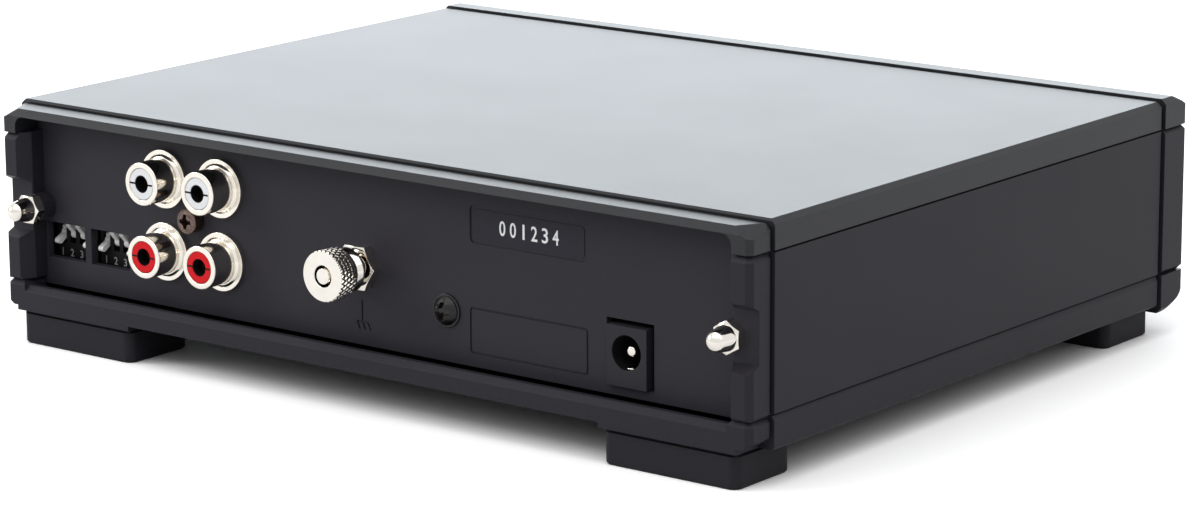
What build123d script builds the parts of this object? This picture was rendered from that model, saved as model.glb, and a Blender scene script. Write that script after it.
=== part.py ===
from build123d import *
import os

# Phono preamplifier: a flat metal case with its sockets, switches and ground post at the back.
#
# The model is drawn with the rear panel's outer face at Y = 0 and the underside of the case at Z = 0.
# +Y points out of the back, and +X is to the right of somebody who faces the front.
# Every piece is then moved by one amount, which brings the origin to the middle of the underside
# of the whole object. Sizes are in millimetres and angles in degrees.

# ---------------------------------------------------------------- driving dimensions

# Case between its two grooves
case_half_width = 90.0
case_depth = 127.3
case_height = 40.5
cover_rim_height = 5.4
base_seam = 6.1
case_edge_chamfer = 1.0
cover_end_chamfer = 0.35
base_band_height = 0.9
base_band_inset = 0.5
base_foot_chamfer = 0.4

# Wall thicknesses
cover_thickness = 2.2
side_thickness = 2.5
floor_thickness = 2.0
front_thickness = 3.0

# Shadow lines: a shallow step in the middle pieces along both seams, and a groove at each end
seam_line_height = 0.35
seam_line_depth = 0.8
groove_depth = 1.3
rear_groove_width = 0.65
rear_groove_inset = 0.5
front_groove_width = 0.9

# Rear bezel, the rim that stands out behind the panel
rear_bezel_reach = 5.9
rear_bezel_side_inset = 0.5
rear_bezel_top_inset = 0.7
rear_bezel_bottom_inset = 0.95
bezel_corner_chamfer = 1.05
lip_chamfer_depth = 1.1
lip_edge_thickness = 0.1
opening_top_margin = 2.1
opening_corner_radius = 2.0
base_lip_top = 5.0
base_lip_thickness = 2.2
base_corner_chamfer_width = 2.0
base_corner_chamfer_height = 1.35
rim_facet_reach = 4.0
rim_facet_groove_reach = 1.2
rim_facet_drop = 2.0
trough_end_inset = 1.1
trough_end_slope = 1.05

# Rear posts, the ends of the side walls inside the bezel
post_outer_face_width = 4.0
post_root_width = 5.5
post_root_depth = 3.0
notch_floor = 3.3
notch_centre_drop = 0.15
notch_floor_height = 9.5
notch_mouth_height = 12.2
lug_radius = 2.8
panel_rib_depth = 2.0
post_bevel_depth = 1.0
post_bevel_height = 1.3

# Front bezel, a thicker rim that stands a little proud all round
front_bezel_length = 8.4
front_bezel_side_rise = 0.4
front_bezel_top_rise = 0.4
front_bezel_bottom_drop = 1.5
front_top_chamfer_depth = 4.4
front_top_chamfer_height = 2.4
front_bottom_round_depth = 7.5
front_bottom_round_height = 3.9
front_corner_chamfer = 1.0
front_seam_chamfer = 1.0
front_rim_seam_chamfer = 0.5

# Rear panel
panel_thickness = 1.5
panel_bottom = 4.55
panel_clearance = 0.2
engraving_depth = 0.25

# Tie rods, which clamp the side walls and the panel to the front
tie_rod_radius = 1.5
tie_rod_inset = 6.15
tie_rod_drop = 0.35
tie_boss_length = 8.0
tie_boss_side_gap = 0.4
tie_thread_depth = 6.5
tie_rod_projection = 2.6
dome_nut_flats = 5.3
dome_nut_turn = 30.0
dome_nut_thickness = 2.0
dome_nut_barrel = 2.35
dome_radius = 2.0

# Feet
foot_width = 29.1
foot_length = 16.2
foot_height = 5.95
foot_neck_height = 0.7
foot_neck_inset = 0.6
foot_corner_radius = 1.9
foot_edge_chamfer = 0.4
foot_outer_inset = 3.8
rear_foot_overhang = 5.2
front_foot_setback = 5.6
foot_pad_margin = 0.3
foot_screw_radius = 1.5
foot_screw_head_radius = 2.8
foot_screw_head_height = 1.8
foot_screw_recess = 2.4
foot_screw_bite = 1.6
foot_screw_slot_width = 0.75
foot_screw_slot_depth = 0.75

# Circuit board
board_top = 6.4
board_thickness = 1.6
board_side_margin = 10.0
board_rear_gap = 2.0
board_front_gap = 8.0
board_screw_inset = 6.0
board_boss_radius = 3.5
board_screw_radius = 1.3
board_screw_head_radius = 2.6
board_screw_head_height = 1.7
board_screw_slot_width = 0.65
board_screw_slot_depth = 0.65

# Phono sockets, in two rows and two columns
socket_edge_distance = 38.8
socket_column_pitch = 14.3
socket_upper_drop = 8.8
socket_row_pitch = 14.1
socket_barrel_radius = 4.15
socket_barrel_wall = 1.08
socket_barrel_chamfer = 0.15
socket_reach = 6.9
socket_flange_radius = 5.65
socket_flange_thickness = 1.1
socket_flange_chamfer = 0.28
socket_collar_radius = 4.5
socket_collar_thickness = 0.8
socket_shank_radius = 4.0
socket_shank_length = 6.0
insulator_setback = 0.1
contact_bore_radius = 1.6
contact_wall = 0.45
contact_setback = 2.5
contact_length = 7.0
insulator_slot_width = 0.3
insulator_slot_depth = 1.0
socket_block_margin = 7.4
socket_block_depth = 12.0
socket_block_top_gap = 1.5

# Screws in the panel
socket_screw_head_radius = 2.2
socket_screw_head_height = 2.2
socket_screw_radius = 1.25
socket_screw_length = 8.0
panel_screw_edge_distance = 72.2
panel_screw_height = 14.1
panel_screw_head_radius = 3.15
panel_screw_head_height = 1.5
panel_screw_radius = 1.5
panel_screw_length = 9.0
panel_screw_boss_radius = 3.6
recess_width_share = 0.22
recess_length_share = 1.2
recess_depth_share = 0.6
screw_head_chamfer_share = 0.25

# Ground post
ground_x = 2.45
ground_height = 19.5
ground_stud_radius = 1.94
ground_hex_flats = 8.05
ground_hex_turn = 0.0
ground_hex_thickness = 2.3
ground_wire_gap = 1.6
collar_radius = 4.2
collar_thickness = 1.9
thumb_nut_radius = 4.85
thumb_nut_thickness = 4.95
thumb_nut_chamfer = 0.35
ground_head_radius = 3.6
ground_head_thickness = 2.2
tag_thickness = 0.5
tag_half_width = 3.6
tag_tail_half_width = 1.2

# Power inlet
inlet_edge_distance = 30.8
inlet_width = 8.8
inlet_height = 11.0
inlet_depth = 14.0
inlet_proud = 0.8
inlet_hole_radius = 3.2
inlet_hole_depth = 9.5
inlet_hole_above_board = 6.3
inlet_pin_radius = 1.05
inlet_pin_root_radius = 1.5
inlet_pin_setback = 1.2
inlet_pin_tip_radius = 0.52
inlet_spring_width = 2.0
inlet_spring_thickness = 0.4
inlet_cutout_side_gap = 0.5
inlet_cutout_far_gap = 1.1
inlet_cutout_top_gap = 1.0
inlet_cutout_bottom_gap = 0.1

# Setting switches: two blocks of four side-acting levers
switch_edge_distance = 11.55
switch_pitch = 11.8
switch_window_width = 10.2
switch_window_bottom = 10.0
switch_window_height = 7.05
switch_face_setback = 3.0
switch_body_width = 10.9
switch_body_depth = 7.0
switch_body_height = 11.2
lever_count = 4
lever_pitch = 2.54
lever_width = 1.2
lever_slot_width = 1.6
lever_slot_depth = 3.3
lever_slot_bottom_drop = 1.8
lever_slot_top_rise = 2.3
lever_pivot_setback = 1.0
lever_pivot_above_board = 7.9
lever_length = 2.7
lever_tip_radius = 0.55
lever_root_half_thickness = 0.42
lever_hub_radius = 0.95
lever_nub_length = 1.1
lever_nub_radius = 0.42
lever_nub_angle = 110.0
lever_down_angle = -30.0
lever_up_angle = 50.0
lever_rests_up = (False, True, True, False)
axle_radius = 0.4
axle_end_margin = 0.4

# Plates and marks on the panel
plate_edge_distance = 53.3
plate_recess_width = 26.6
plate_recess_height = 7.0
plate_recess_drop = 7.5
plate_recess_radius = 1.0
frame_width = 27.0
frame_height = 8.7
frame_centre_height = 11.25
frame_line_width = 0.4
frame_radius = 0.8
ground_mark_drop = 6.4
ground_mark_stem = 4.2
ground_mark_width = 2.6
ground_mark_line = 0.35
ground_mark_leg = 1.5
ground_mark_slant = 25.0

# Parts on the circuit board
supply_capacitor_radius = 8.0
supply_capacitor_height = 25.0
supply_capacitor_edge = 1.0
supply_capacitor_columns = 2
supply_capacitor_rows = 2
supply_capacitor_share = 0.32
small_capacitor_radius = 4.0
small_capacitor_height = 11.5
small_capacitor_edge = 0.5
small_capacitor_gap = 2.0
small_capacitor_columns = 4
small_capacitor_shares = (0.27, 0.72)
film_capacitor_size = (13.0, 5.0, 10.0)
film_capacitor_edge = 0.35
film_capacitor_side_gap = 2.0
film_capacitor_end_gap = 3.0
film_capacitor_columns = 3
film_capacitor_rows = 2
film_capacitor_share = 0.4
chip_size = (9.6, 6.4, 3.4)
chip_gap = 3.0
chip_count = 4
chip_share = 0.6
resistor_radius = 1.2
resistor_length = 6.5
resistor_gap = 2.0
resistor_columns = 6
resistor_shares = (0.81, 0.89)
regulator_size = (10.0, 4.4, 15.0)
regulator_foot = 3.0
heat_sink_size = (46.0, 6.0, 22.0)
heat_sink_fin_count = 9
heat_sink_fin_thickness = 1.4
heat_sink_base_thickness = 2.0
heat_sink_share = 0.74
bridge_size = (8.4, 6.4, 3.3)
solder_radius = 0.9
solder_height = 0.8
solder_tip_radius = 0.45
solder_row_shares = (0.25, 0.75)
indicator_radius = 1.5
indicator_flange_radius = 2.3
indicator_flange_thickness = 0.6
indicator_edge_distance = 24.0
indicator_above_board = 5.6
led_length = 5.0
led_lead_width = 0.6

# Named clearances
seat_clearance = 0.1
thread_clearance = 0.05
running_clearance = 0.05
press_clearance = 0.02
part_gap = 1.0

# ---------------------------------------------------------------- places worked out from them

RIGHT = 1
LEFT = -1

# Along Y, from the front to the back
main_rear = -rear_groove_inset
main_front = main_rear - case_depth
rear_bezel_start = main_rear + rear_groove_width
front_bezel_rear = main_front - front_groove_width
front_face = front_bezel_rear - front_bezel_length
front_inner_face = front_face + front_thickness
panel_back = -panel_thickness
thumb_nut_face = ground_hex_thickness + ground_wire_gap + collar_thickness + thumb_nut_thickness

# Along X and Z
cover_seam = case_height - cover_rim_height
side_inner = case_half_width - side_thickness
groove_half_width = case_half_width - groove_depth
rear_bezel_half_width = case_half_width - rear_bezel_side_inset
rear_bezel_top = case_height - rear_bezel_top_inset
front_half_width = case_half_width + front_bezel_side_rise
front_inner_half_width = front_half_width - front_thickness
front_top = case_height + front_bezel_top_rise
front_bottom = -front_bezel_bottom_drop
post_inner = rear_bezel_half_width - post_outer_face_width
post_root = rear_bezel_half_width - post_root_width
cover_ceiling = case_height - cover_thickness
opening_top = case_height - opening_top_margin
notch_centre_height = (base_seam + cover_seam) / 2 - notch_centre_drop
tie_rod_height = notch_centre_height - tie_rod_drop
plate_recess_centre_height = opening_top - plate_recess_drop
panel_half_width = side_inner - panel_clearance
panel_window_half_width = post_inner - panel_clearance
panel_top = cover_ceiling - panel_clearance
floor_top = floor_thickness
bezel_floor_top = rear_bezel_bottom_inset + floor_thickness
board_bottom = board_top - board_thickness
tie_rod_x = case_half_width - tie_rod_inset
tie_boss_radius = side_inner - tie_rod_x - tie_boss_side_gap
board_half_width = case_half_width - board_side_margin
board_rear = -board_rear_gap
board_front = front_inner_face + board_front_gap
foot_bottom = -foot_neck_height - foot_height

# The whole object's middle, which the finished pieces are moved from
shift_y = -(front_face + thumb_nut_face) / 2
shift_z = -foot_bottom

# Centres of the sockets, switches and marks
socket_columns = [
    case_half_width - socket_edge_distance,
    case_half_width - socket_edge_distance - socket_column_pitch,
]
socket_rows = [opening_top - socket_upper_drop, opening_top - socket_upper_drop - socket_row_pitch]
socket_screw_x = sum(socket_columns) / 2
socket_screw_height = sum(socket_rows) / 2
switch_centres = [
    case_half_width - switch_edge_distance,
    case_half_width - switch_edge_distance - switch_pitch,
]
switch_face = -switch_face_setback
lever_pivot_y = switch_face - lever_pivot_setback
lever_pivot_z = board_top + lever_pivot_above_board
inlet_x = -(case_half_width - inlet_edge_distance)
inlet_hole_z = board_top + inlet_hole_above_board
panel_screw_x = -(case_half_width - panel_screw_edge_distance)
plate_x = -(case_half_width - plate_edge_distance)
indicator_x = case_half_width - indicator_edge_distance
indicator_z = board_top + indicator_above_board


# ---------------------------------------------------------------- shapes that many pieces use

def block(x_span, y_span, z_span):
    """Rectangular block, with each span given as one end and the other."""
    spans = (x_span, y_span, z_span)
    sizes = [abs(end - start) for start, end in spans]
    middle = [(start + end) / 2 for start, end in spans]
    return Pos(*middle) * Box(*sizes)


def along_x(points, x_span):
    """Prism along X, with its outline given as (y, z) points."""
    start, end = sorted(x_span)
    outline = Plane.YZ * make_face(Polyline(*points, close=True))
    return Pos(start, 0, 0) * extrude(outline, end - start, dir=(1, 0, 0))


def along_y(outline, y_span):
    """Prism along Y from an outline drawn in X and Z."""
    start, end = sorted(y_span)
    return Pos(0, start, 0) * extrude(Plane.XZ * outline, end - start, dir=(0, 1, 0))


def along_z(points, z_span):
    """Prism along Z, with its outline given as (x, y) points."""
    start, end = sorted(z_span)
    return Pos(0, 0, start) * extrude(make_face(Polyline(*points, close=True)), end - start)


def rod(x, z, radius, y_span):
    """Round bar along Y."""
    start, end = sorted(y_span)
    return Pos(x, (start + end) / 2, z) * Rot(90, 0, 0) * Cylinder(radius, end - start)


def post(x, y, radius, z_span):
    """Round bar along Z."""
    start, end = sorted(z_span)
    return Pos(x, y, (start + end) / 2) * Cylinder(radius, end - start)


def hexagon(x, z, flats, y_span, turn):
    """Hexagonal bar along Y, with a corner at the angle turn from +X."""
    outline = RegularPolygon(flats / 2, 6, major_radius=False, rotation=turn)
    return along_y(Pos(x, z) * outline, y_span)


def mirrored(shape):
    """The same shape on the other side of the middle plane."""
    return mirror(shape, about=Plane.YZ)


def both_sides(shape):
    """A shape and its mirror image."""
    return shape + mirrored(shape)


def group(shapes):
    """Several separate solids that share one node."""
    return Compound([solid for shape in shapes for solid in shape.solids()])


def cross_recess(x, z, face_y, head_radius):
    """Cross-shaped driver recess, to be cut into a screw head whose face looks along +Y."""
    long_half = head_radius * recess_length_share / 2
    short_half = head_radius * recess_width_share / 2
    depth = (face_y - head_radius * recess_depth_share, face_y + part_gap)
    upright = block((x - short_half, x + short_half), depth, (z - long_half, z + long_half))
    level = block((x - long_half, x + long_half), depth, (z - short_half, z + short_half))
    return upright + level


# ---------------------------------------------------------------- case

def front_corners():
    """Upright wedges that bevel the two front corners of the front rim."""
    corner = [
        (front_half_width - front_corner_chamfer, front_face),
        (front_half_width, front_face),
        (front_half_width, front_face + front_corner_chamfer),
    ]
    return both_sides(along_z(corner, (front_bottom, front_top)))


def rim_corner_facet():
    """Block whose lower face bevels the upper outer corner of the rear rim on the +X side."""
    rear_start = Vector(
        rear_bezel_half_width - rim_facet_reach, rear_bezel_reach - lip_chamfer_depth, rear_bezel_top
    )
    groove_start = Vector(rear_bezel_half_width - rim_facet_groove_reach, rear_bezel_start, rear_bezel_top)
    low_corner = Vector(
        rear_bezel_half_width, rear_bezel_reach - bezel_corner_chamfer, rear_bezel_top - rim_facet_drop
    )
    along = groove_start - rear_start
    outward = along.cross(low_corner - rear_start)
    size = 2 * rear_bezel_reach
    return Plane(rear_start, along, outward) * Pos(0, 0, size / 2) * Box(size, size, size)


def make_top_cover():
    """Cover with its roof, two low walls, the rear rim and the sloping front rim."""
    main = block((-case_half_width, case_half_width), (main_front, main_rear), (cover_seam, case_height))
    main = chamfer(main.edges().filter_by(Axis.Y).group_by(Axis.Z)[-1], case_edge_chamfer)
    main = chamfer(main.edges().filter_by(Axis.X).group_by(Axis.Z)[-1], cover_end_chamfer)

    web_top = case_height - groove_depth
    web_span = (-groove_half_width, groove_half_width)
    rear_web = block(web_span, (main_rear, rear_bezel_start), (cover_seam, web_top))
    front_web = block(web_span, (front_bezel_rear, main_front), (cover_seam, web_top))

    lip_edge = opening_top + lip_edge_thickness
    rear_outline = [
        (rear_bezel_start, cover_seam),
        (rear_bezel_reach, cover_seam),
        (rear_bezel_reach, lip_edge),
        (rear_bezel_reach - lip_chamfer_depth, rear_bezel_top),
        (rear_bezel_start, rear_bezel_top),
    ]
    rear_rim = along_x(rear_outline, (-rear_bezel_half_width, rear_bezel_half_width))
    rear_rim = chamfer(rear_rim.edges().filter_by(Axis.Y).group_by(Axis.Z)[-1], case_edge_chamfer)
    rear_rim = chamfer(rear_rim.edges().filter_by(Axis.Z).group_by(Axis.Y)[-1], bezel_corner_chamfer)
    rear_rim = rear_rim - both_sides(rim_corner_facet())

    front_outline = [
        (front_face, cover_seam + front_rim_seam_chamfer),
        (front_face + front_rim_seam_chamfer, cover_seam),
        (front_bezel_rear, cover_seam),
        (front_bezel_rear, front_top),
        (front_face + front_top_chamfer_depth, front_top),
        (front_face, front_top - front_top_chamfer_height),
    ]
    front_rim = along_x(front_outline, (-front_half_width, front_half_width))
    front_rim = chamfer(front_rim.edges().filter_by(Axis.Y).group_by(Axis.Z)[-1], front_corner_chamfer)
    front_rim = front_rim - front_corners()

    cavity = block((-side_inner, side_inner), (main_front, main_rear), (cover_seam, cover_ceiling))
    web_gap = block((-side_inner, side_inner), (front_bezel_rear, main_front), (cover_seam, cover_ceiling))
    front_cavity = block(
        (-front_inner_half_width, front_inner_half_width),
        (front_inner_face, front_bezel_rear),
        (cover_seam, cover_ceiling),
    )
    opening_height = 2 * (opening_top - cover_seam)
    opening_outline = RectangleRounded(2 * post_inner, opening_height, opening_corner_radius)
    opening_outline = Pos(0, cover_seam) * opening_outline
    opening = along_y(opening_outline, (rear_bezel_start, rear_bezel_reach))
    web_opening = block((-post_inner, post_inner), (main_rear, rear_bezel_start), (cover_seam, opening_top))
    cover = main + rear_web + front_web + rear_rim + front_rim
    return cover - cavity - web_gap - front_cavity - opening - web_opening


def base_rear_rim():
    """Rim of the base behind the panel: a floor, a lip and two raised ends under the posts."""
    trough_half_width = post_inner - trough_end_inset
    raised = block(
        (-rear_bezel_half_width, rear_bezel_half_width),
        (rear_bezel_start, rear_bezel_reach),
        (rear_bezel_bottom_inset, base_seam),
    )
    raised = chamfer(raised.edges().filter_by(Axis.Z).group_by(Axis.Y)[-1], bezel_corner_chamfer)
    top_edges = raised.edges().group_by(Axis.Z)[-1]
    raised = chamfer(top_edges.sort_by(Axis.Y)[1:], bezel_corner_chamfer)
    corner = [
        (rear_bezel_half_width - base_corner_chamfer_width, rear_bezel_bottom_inset),
        (rear_bezel_half_width, rear_bezel_bottom_inset),
        (rear_bezel_half_width, rear_bezel_bottom_inset + base_corner_chamfer_height),
    ]
    corner_cut = along_y(make_face(Polyline(*corner, close=True)), (rear_bezel_start, rear_bezel_reach))
    lip_back = rear_bezel_reach - base_lip_thickness
    above_lip = [
        (rear_bezel_start, base_seam),
        (rear_bezel_start, bezel_floor_top),
        (lip_back, bezel_floor_top),
        (lip_back, base_lip_top),
        (rear_bezel_reach - lip_chamfer_depth, base_lip_top),
        (rear_bezel_reach, base_lip_top - lip_chamfer_depth),
        (rear_bezel_reach, base_seam),
    ]
    trough = along_x(above_lip, (-trough_half_width, trough_half_width))
    end_slope = [
        (trough_half_width, base_lip_top),
        (trough_half_width + trough_end_slope, base_seam),
        (trough_half_width, base_seam),
    ]
    slope_cut = along_y(make_face(Polyline(*end_slope, close=True)), (rear_bezel_start, rear_bezel_reach))
    return raised - both_sides(corner_cut) - both_sides(slope_cut) - trough


def base_front_rim():
    """Front rim of the base, with its lower edge rounded off as part of an ellipse."""
    round_start = front_bottom + front_bottom_round_height
    round_end = front_face + front_bottom_round_depth
    curve = EllipticalCenterArc(
        (round_end, round_start), front_bottom_round_depth, front_bottom_round_height, 180, arc_size=90
    )
    straight = Polyline(
        (round_end, front_bottom),
        (front_bezel_rear, front_bottom),
        (front_bezel_rear, base_seam),
        (front_face + front_rim_seam_chamfer, base_seam),
        (front_face, base_seam - front_rim_seam_chamfer),
        (front_face, round_start),
    )
    outline = Plane.YZ * make_face([curve, straight])
    rim = Pos(-front_half_width, 0, 0) * extrude(outline, 2 * front_half_width, dir=(1, 0, 0))
    side_edges = rim.faces().filter_by(Axis.X).edges()
    front_edges = side_edges.filter_by(lambda edge: edge.center().Y < front_bezel_rear - seat_clearance)
    low_edges = front_edges.filter_by(lambda edge: edge.center().Z < round_start)
    rim = chamfer(low_edges, front_corner_chamfer)
    cavity = block(
        (-front_inner_half_width, front_inner_half_width),
        (front_inner_face, front_bezel_rear),
        (floor_top, base_seam),
    )
    return rim - cavity - front_corners()


def foot_x_span():
    """The left and right edges of the foot on the +X side."""
    outer = case_half_width - foot_outer_inset
    return (outer - foot_width, outer)


def foot_y_spans():
    """Front and rear ends of the rear foot and of the front foot."""
    rear = (rear_foot_overhang - foot_length, rear_foot_overhang)
    front = (front_face + front_foot_setback, front_face + front_foot_setback + foot_length)
    return [rear, front]


def foot_screw_places():
    """Centres of the four foot screws."""
    x_low, x_high = foot_x_span()
    middle = (x_low + x_high) / 2
    return [(side * middle, sum(span) / 2) for side in (RIGHT, LEFT) for span in foot_y_spans()]


def board_screw_places():
    """Centres of the four screws that hold the circuit board."""
    x = board_half_width - board_screw_inset
    return [
        (side * x, y)
        for side in (RIGHT, LEFT)
        for y in (board_front + board_screw_inset, board_rear - 2 * board_screw_inset)
    ]


def make_base_shell():
    """Tray that forms the underside, with bosses for the board and pads over the feet."""
    main = block((-case_half_width, case_half_width), (main_front, main_rear), (0, base_seam))
    main = chamfer(main.edges().filter_by(Axis.Y).group_by(Axis.Z)[0], base_foot_chamfer)
    band = [
        (case_half_width - base_band_inset, base_seam),
        (case_half_width, base_seam),
        (case_half_width, base_seam - base_band_height),
    ]
    band_cut = along_y(make_face(Polyline(*band, close=True)), (main_front, main_rear))
    main = main - both_sides(band_cut)

    web_span = (-groove_half_width, groove_half_width)
    rear_web = block(web_span, (main_rear, rear_bezel_start), (groove_depth, base_seam))
    front_web = block(web_span, (front_bezel_rear, main_front), (groove_depth, base_seam))
    x_low, x_high = foot_x_span()
    pad = block(
        (x_low - foot_pad_margin, x_high + foot_pad_margin),
        (main_rear, rear_bezel_reach),
        (0, rear_bezel_bottom_inset + foot_pad_margin),
    )
    cavity = block((-side_inner, side_inner), (main_front, main_rear), (floor_top, base_seam))
    front_gap = block((-side_inner, side_inner), (front_bezel_rear, main_front), (floor_top, base_seam))
    rear_gap_half_width = post_inner - part_gap / 2
    rear_gap = block(
        (-rear_gap_half_width, rear_gap_half_width),
        (main_rear, rear_bezel_start),
        (bezel_floor_top, base_seam),
    )
    shell = main + rear_web + front_web + base_rear_rim() + base_front_rim() + both_sides(pad)
    shell = shell - cavity - front_gap - rear_gap
    for x, y in board_screw_places():
        shell = shell + post(x, y, board_boss_radius, (floor_top, board_bottom))
        shell = shell - post(x, y, board_screw_radius + thread_clearance, (floor_top / 2, board_bottom))
    for x, y in foot_screw_places():
        shell = shell - post(x, y, foot_screw_radius + thread_clearance, (front_bottom, foot_screw_bite))
    return shell


def post_bevel(place, half_length):
    """Wedge to be cut into a post just under the cover, where the place's X looks out of the face."""
    low = -post_bevel_height * (post_bevel_depth + part_gap) / post_bevel_depth
    outline = make_face(Polyline((-post_bevel_depth, 0), (part_gap, 0), (part_gap, low), close=True))
    return place * extrude(outline, half_length, both=True)


def post_bevels():
    """Wedges under the cover on the post's rear face, bevelled corner and side face."""
    middle_x = (post_root + rear_bezel_half_width) / 2
    middle_y = (rear_bezel_start + rear_bezel_reach) / 2
    corner = bezel_corner_chamfer / 2
    rear_place = Plane((middle_x, rear_bezel_reach, cover_seam), (0, 1, 0), (1, 0, 0))
    side_place = Plane((rear_bezel_half_width, middle_y, cover_seam), (1, 0, 0), (0, -1, 0))
    corner_place = Plane(
        (rear_bezel_half_width - corner, rear_bezel_reach - corner, cover_seam), (1, 1, 0), (1, -1, 0)
    )
    rear = post_bevel(rear_place, rear_bezel_half_width - middle_x)
    side = post_bevel(side_place, rear_bezel_reach - middle_y)
    return rear + side + post_bevel(corner_place, 2 * bezel_corner_chamfer)


def make_side_wall(side):
    """Side wall with its post, the notch for the dome nut and the slot for the panel's edge."""
    plate = block((side_inner, case_half_width), (main_front, main_rear), (base_seam, cover_seam))
    for low in (base_seam, cover_seam - seam_line_height):
        line_x = (case_half_width - seam_line_depth, case_half_width)
        plate = plate - block(line_x, (main_front, main_rear), (low, low + seam_line_height))
    outline = [
        (post_root, 0),
        (post_root, post_root_depth),
        (post_inner, rear_bezel_reach),
        (rear_bezel_half_width - bezel_corner_chamfer, rear_bezel_reach),
        (rear_bezel_half_width, rear_bezel_reach - bezel_corner_chamfer),
        (rear_bezel_half_width, rear_bezel_start),
        (groove_half_width, rear_bezel_start),
        (groove_half_width, main_rear),
        (side_inner, main_rear),
        (side_inner, 0),
    ]
    rear_post = along_z(outline, (base_seam, cover_seam))
    band = (base_seam, base_seam + seam_line_height)
    rear_step = (rear_bezel_reach - seam_line_height, rear_bezel_reach)
    rear_post = rear_post - block((post_root, rear_bezel_half_width), rear_step, band)
    side_step = (rear_bezel_half_width - seam_line_height, rear_bezel_half_width)
    rear_post = rear_post - block(side_step, (rear_bezel_start, rear_bezel_reach), band)
    rear_post = rear_post - post_bevels()
    notch = [
        (notch_floor, notch_centre_height - notch_floor_height / 2),
        (rear_bezel_reach, notch_centre_height - notch_mouth_height / 2),
        (rear_bezel_reach, notch_centre_height + notch_mouth_height / 2),
        (notch_floor, notch_centre_height + notch_floor_height / 2),
    ]
    rear_post = rear_post - along_x(notch, (post_root, rear_bezel_half_width))
    lug = rod(tie_rod_x, tie_rod_height, lug_radius, (0, notch_floor))
    rib = block(
        (panel_half_width - panel_rib_depth, side_inner),
        (panel_back - panel_clearance - panel_rib_depth, panel_back),
        (base_seam, cover_seam),
    )
    rod_hole = rod(tie_rod_x, tie_rod_height, tie_rod_radius + seat_clearance, (main_front, rear_bezel_reach))
    wall = plate + rear_post + lug + rib - rod_hole
    return wall if side == RIGHT else mirrored(wall)


def make_front_panel():
    """Front plate with short cheeks, two threaded bosses and the hole for the indicator."""
    plate_x_span = (-front_half_width, front_half_width)
    plate = block(plate_x_span, (front_face, front_bezel_rear), (base_seam, cover_seam))
    plate = plate - front_corners()
    levels = plate.edges().group_by(Axis.Z)
    seam_edges = levels[0].sort_by(Axis.Y)[:-1] + levels[-1].sort_by(Axis.Y)[:-1]
    plate = chamfer(seam_edges, front_seam_chamfer)
    cavity = block(
        (-front_inner_half_width, front_inner_half_width),
        (front_inner_face, front_bezel_rear),
        (base_seam, cover_seam),
    )
    web = block((side_inner, groove_half_width), (front_bezel_rear, main_front), (base_seam, cover_seam))
    plate = plate - cavity + both_sides(web)
    boss_end = front_inner_face + tie_boss_length
    boss = rod(tie_rod_x, tie_rod_height, tie_boss_radius, (front_inner_face, boss_end))
    boss_hole = rod(
        tie_rod_x, tie_rod_height, tie_rod_radius + thread_clearance, (boss_end - tie_thread_depth, boss_end)
    )
    plate = plate + both_sides(boss) - both_sides(boss_hole)
    lens_hole_radius = indicator_radius + thread_clearance
    lens_hole = rod(indicator_x, indicator_z, lens_hole_radius, (front_face, front_inner_face))
    return plate - lens_hole


def ground_mark():
    """Chassis ground sign: a stem, a bar and three slanted legs, as bars to be cut into the panel."""
    top = ground_height - ground_mark_drop
    bar_height = top - ground_mark_stem
    depth = (-engraving_depth, part_gap)
    half_line = ground_mark_line / 2
    stem = block((ground_x - half_line, ground_x + half_line), depth, (bar_height, top))
    bar_ends = (ground_x - ground_mark_width / 2, ground_x + ground_mark_width / 2)
    bar = block(bar_ends, depth, (bar_height - half_line, bar_height + half_line))
    leg_shape = block((-half_line, half_line), depth, (-ground_mark_leg, 0))
    legs = [
        Pos(x, 0, bar_height) * Rot(0, ground_mark_slant, 0) * leg_shape
        for x in (bar_ends[0], ground_x, bar_ends[1])
    ]
    return stem + bar + legs


def inlet_cutout_span():
    """Left and right edges of the power inlet's cut-out."""
    low = inlet_x - inlet_width / 2 - inlet_cutout_far_gap
    high = inlet_x + inlet_width / 2 + inlet_cutout_side_gap
    return (low, high)


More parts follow.
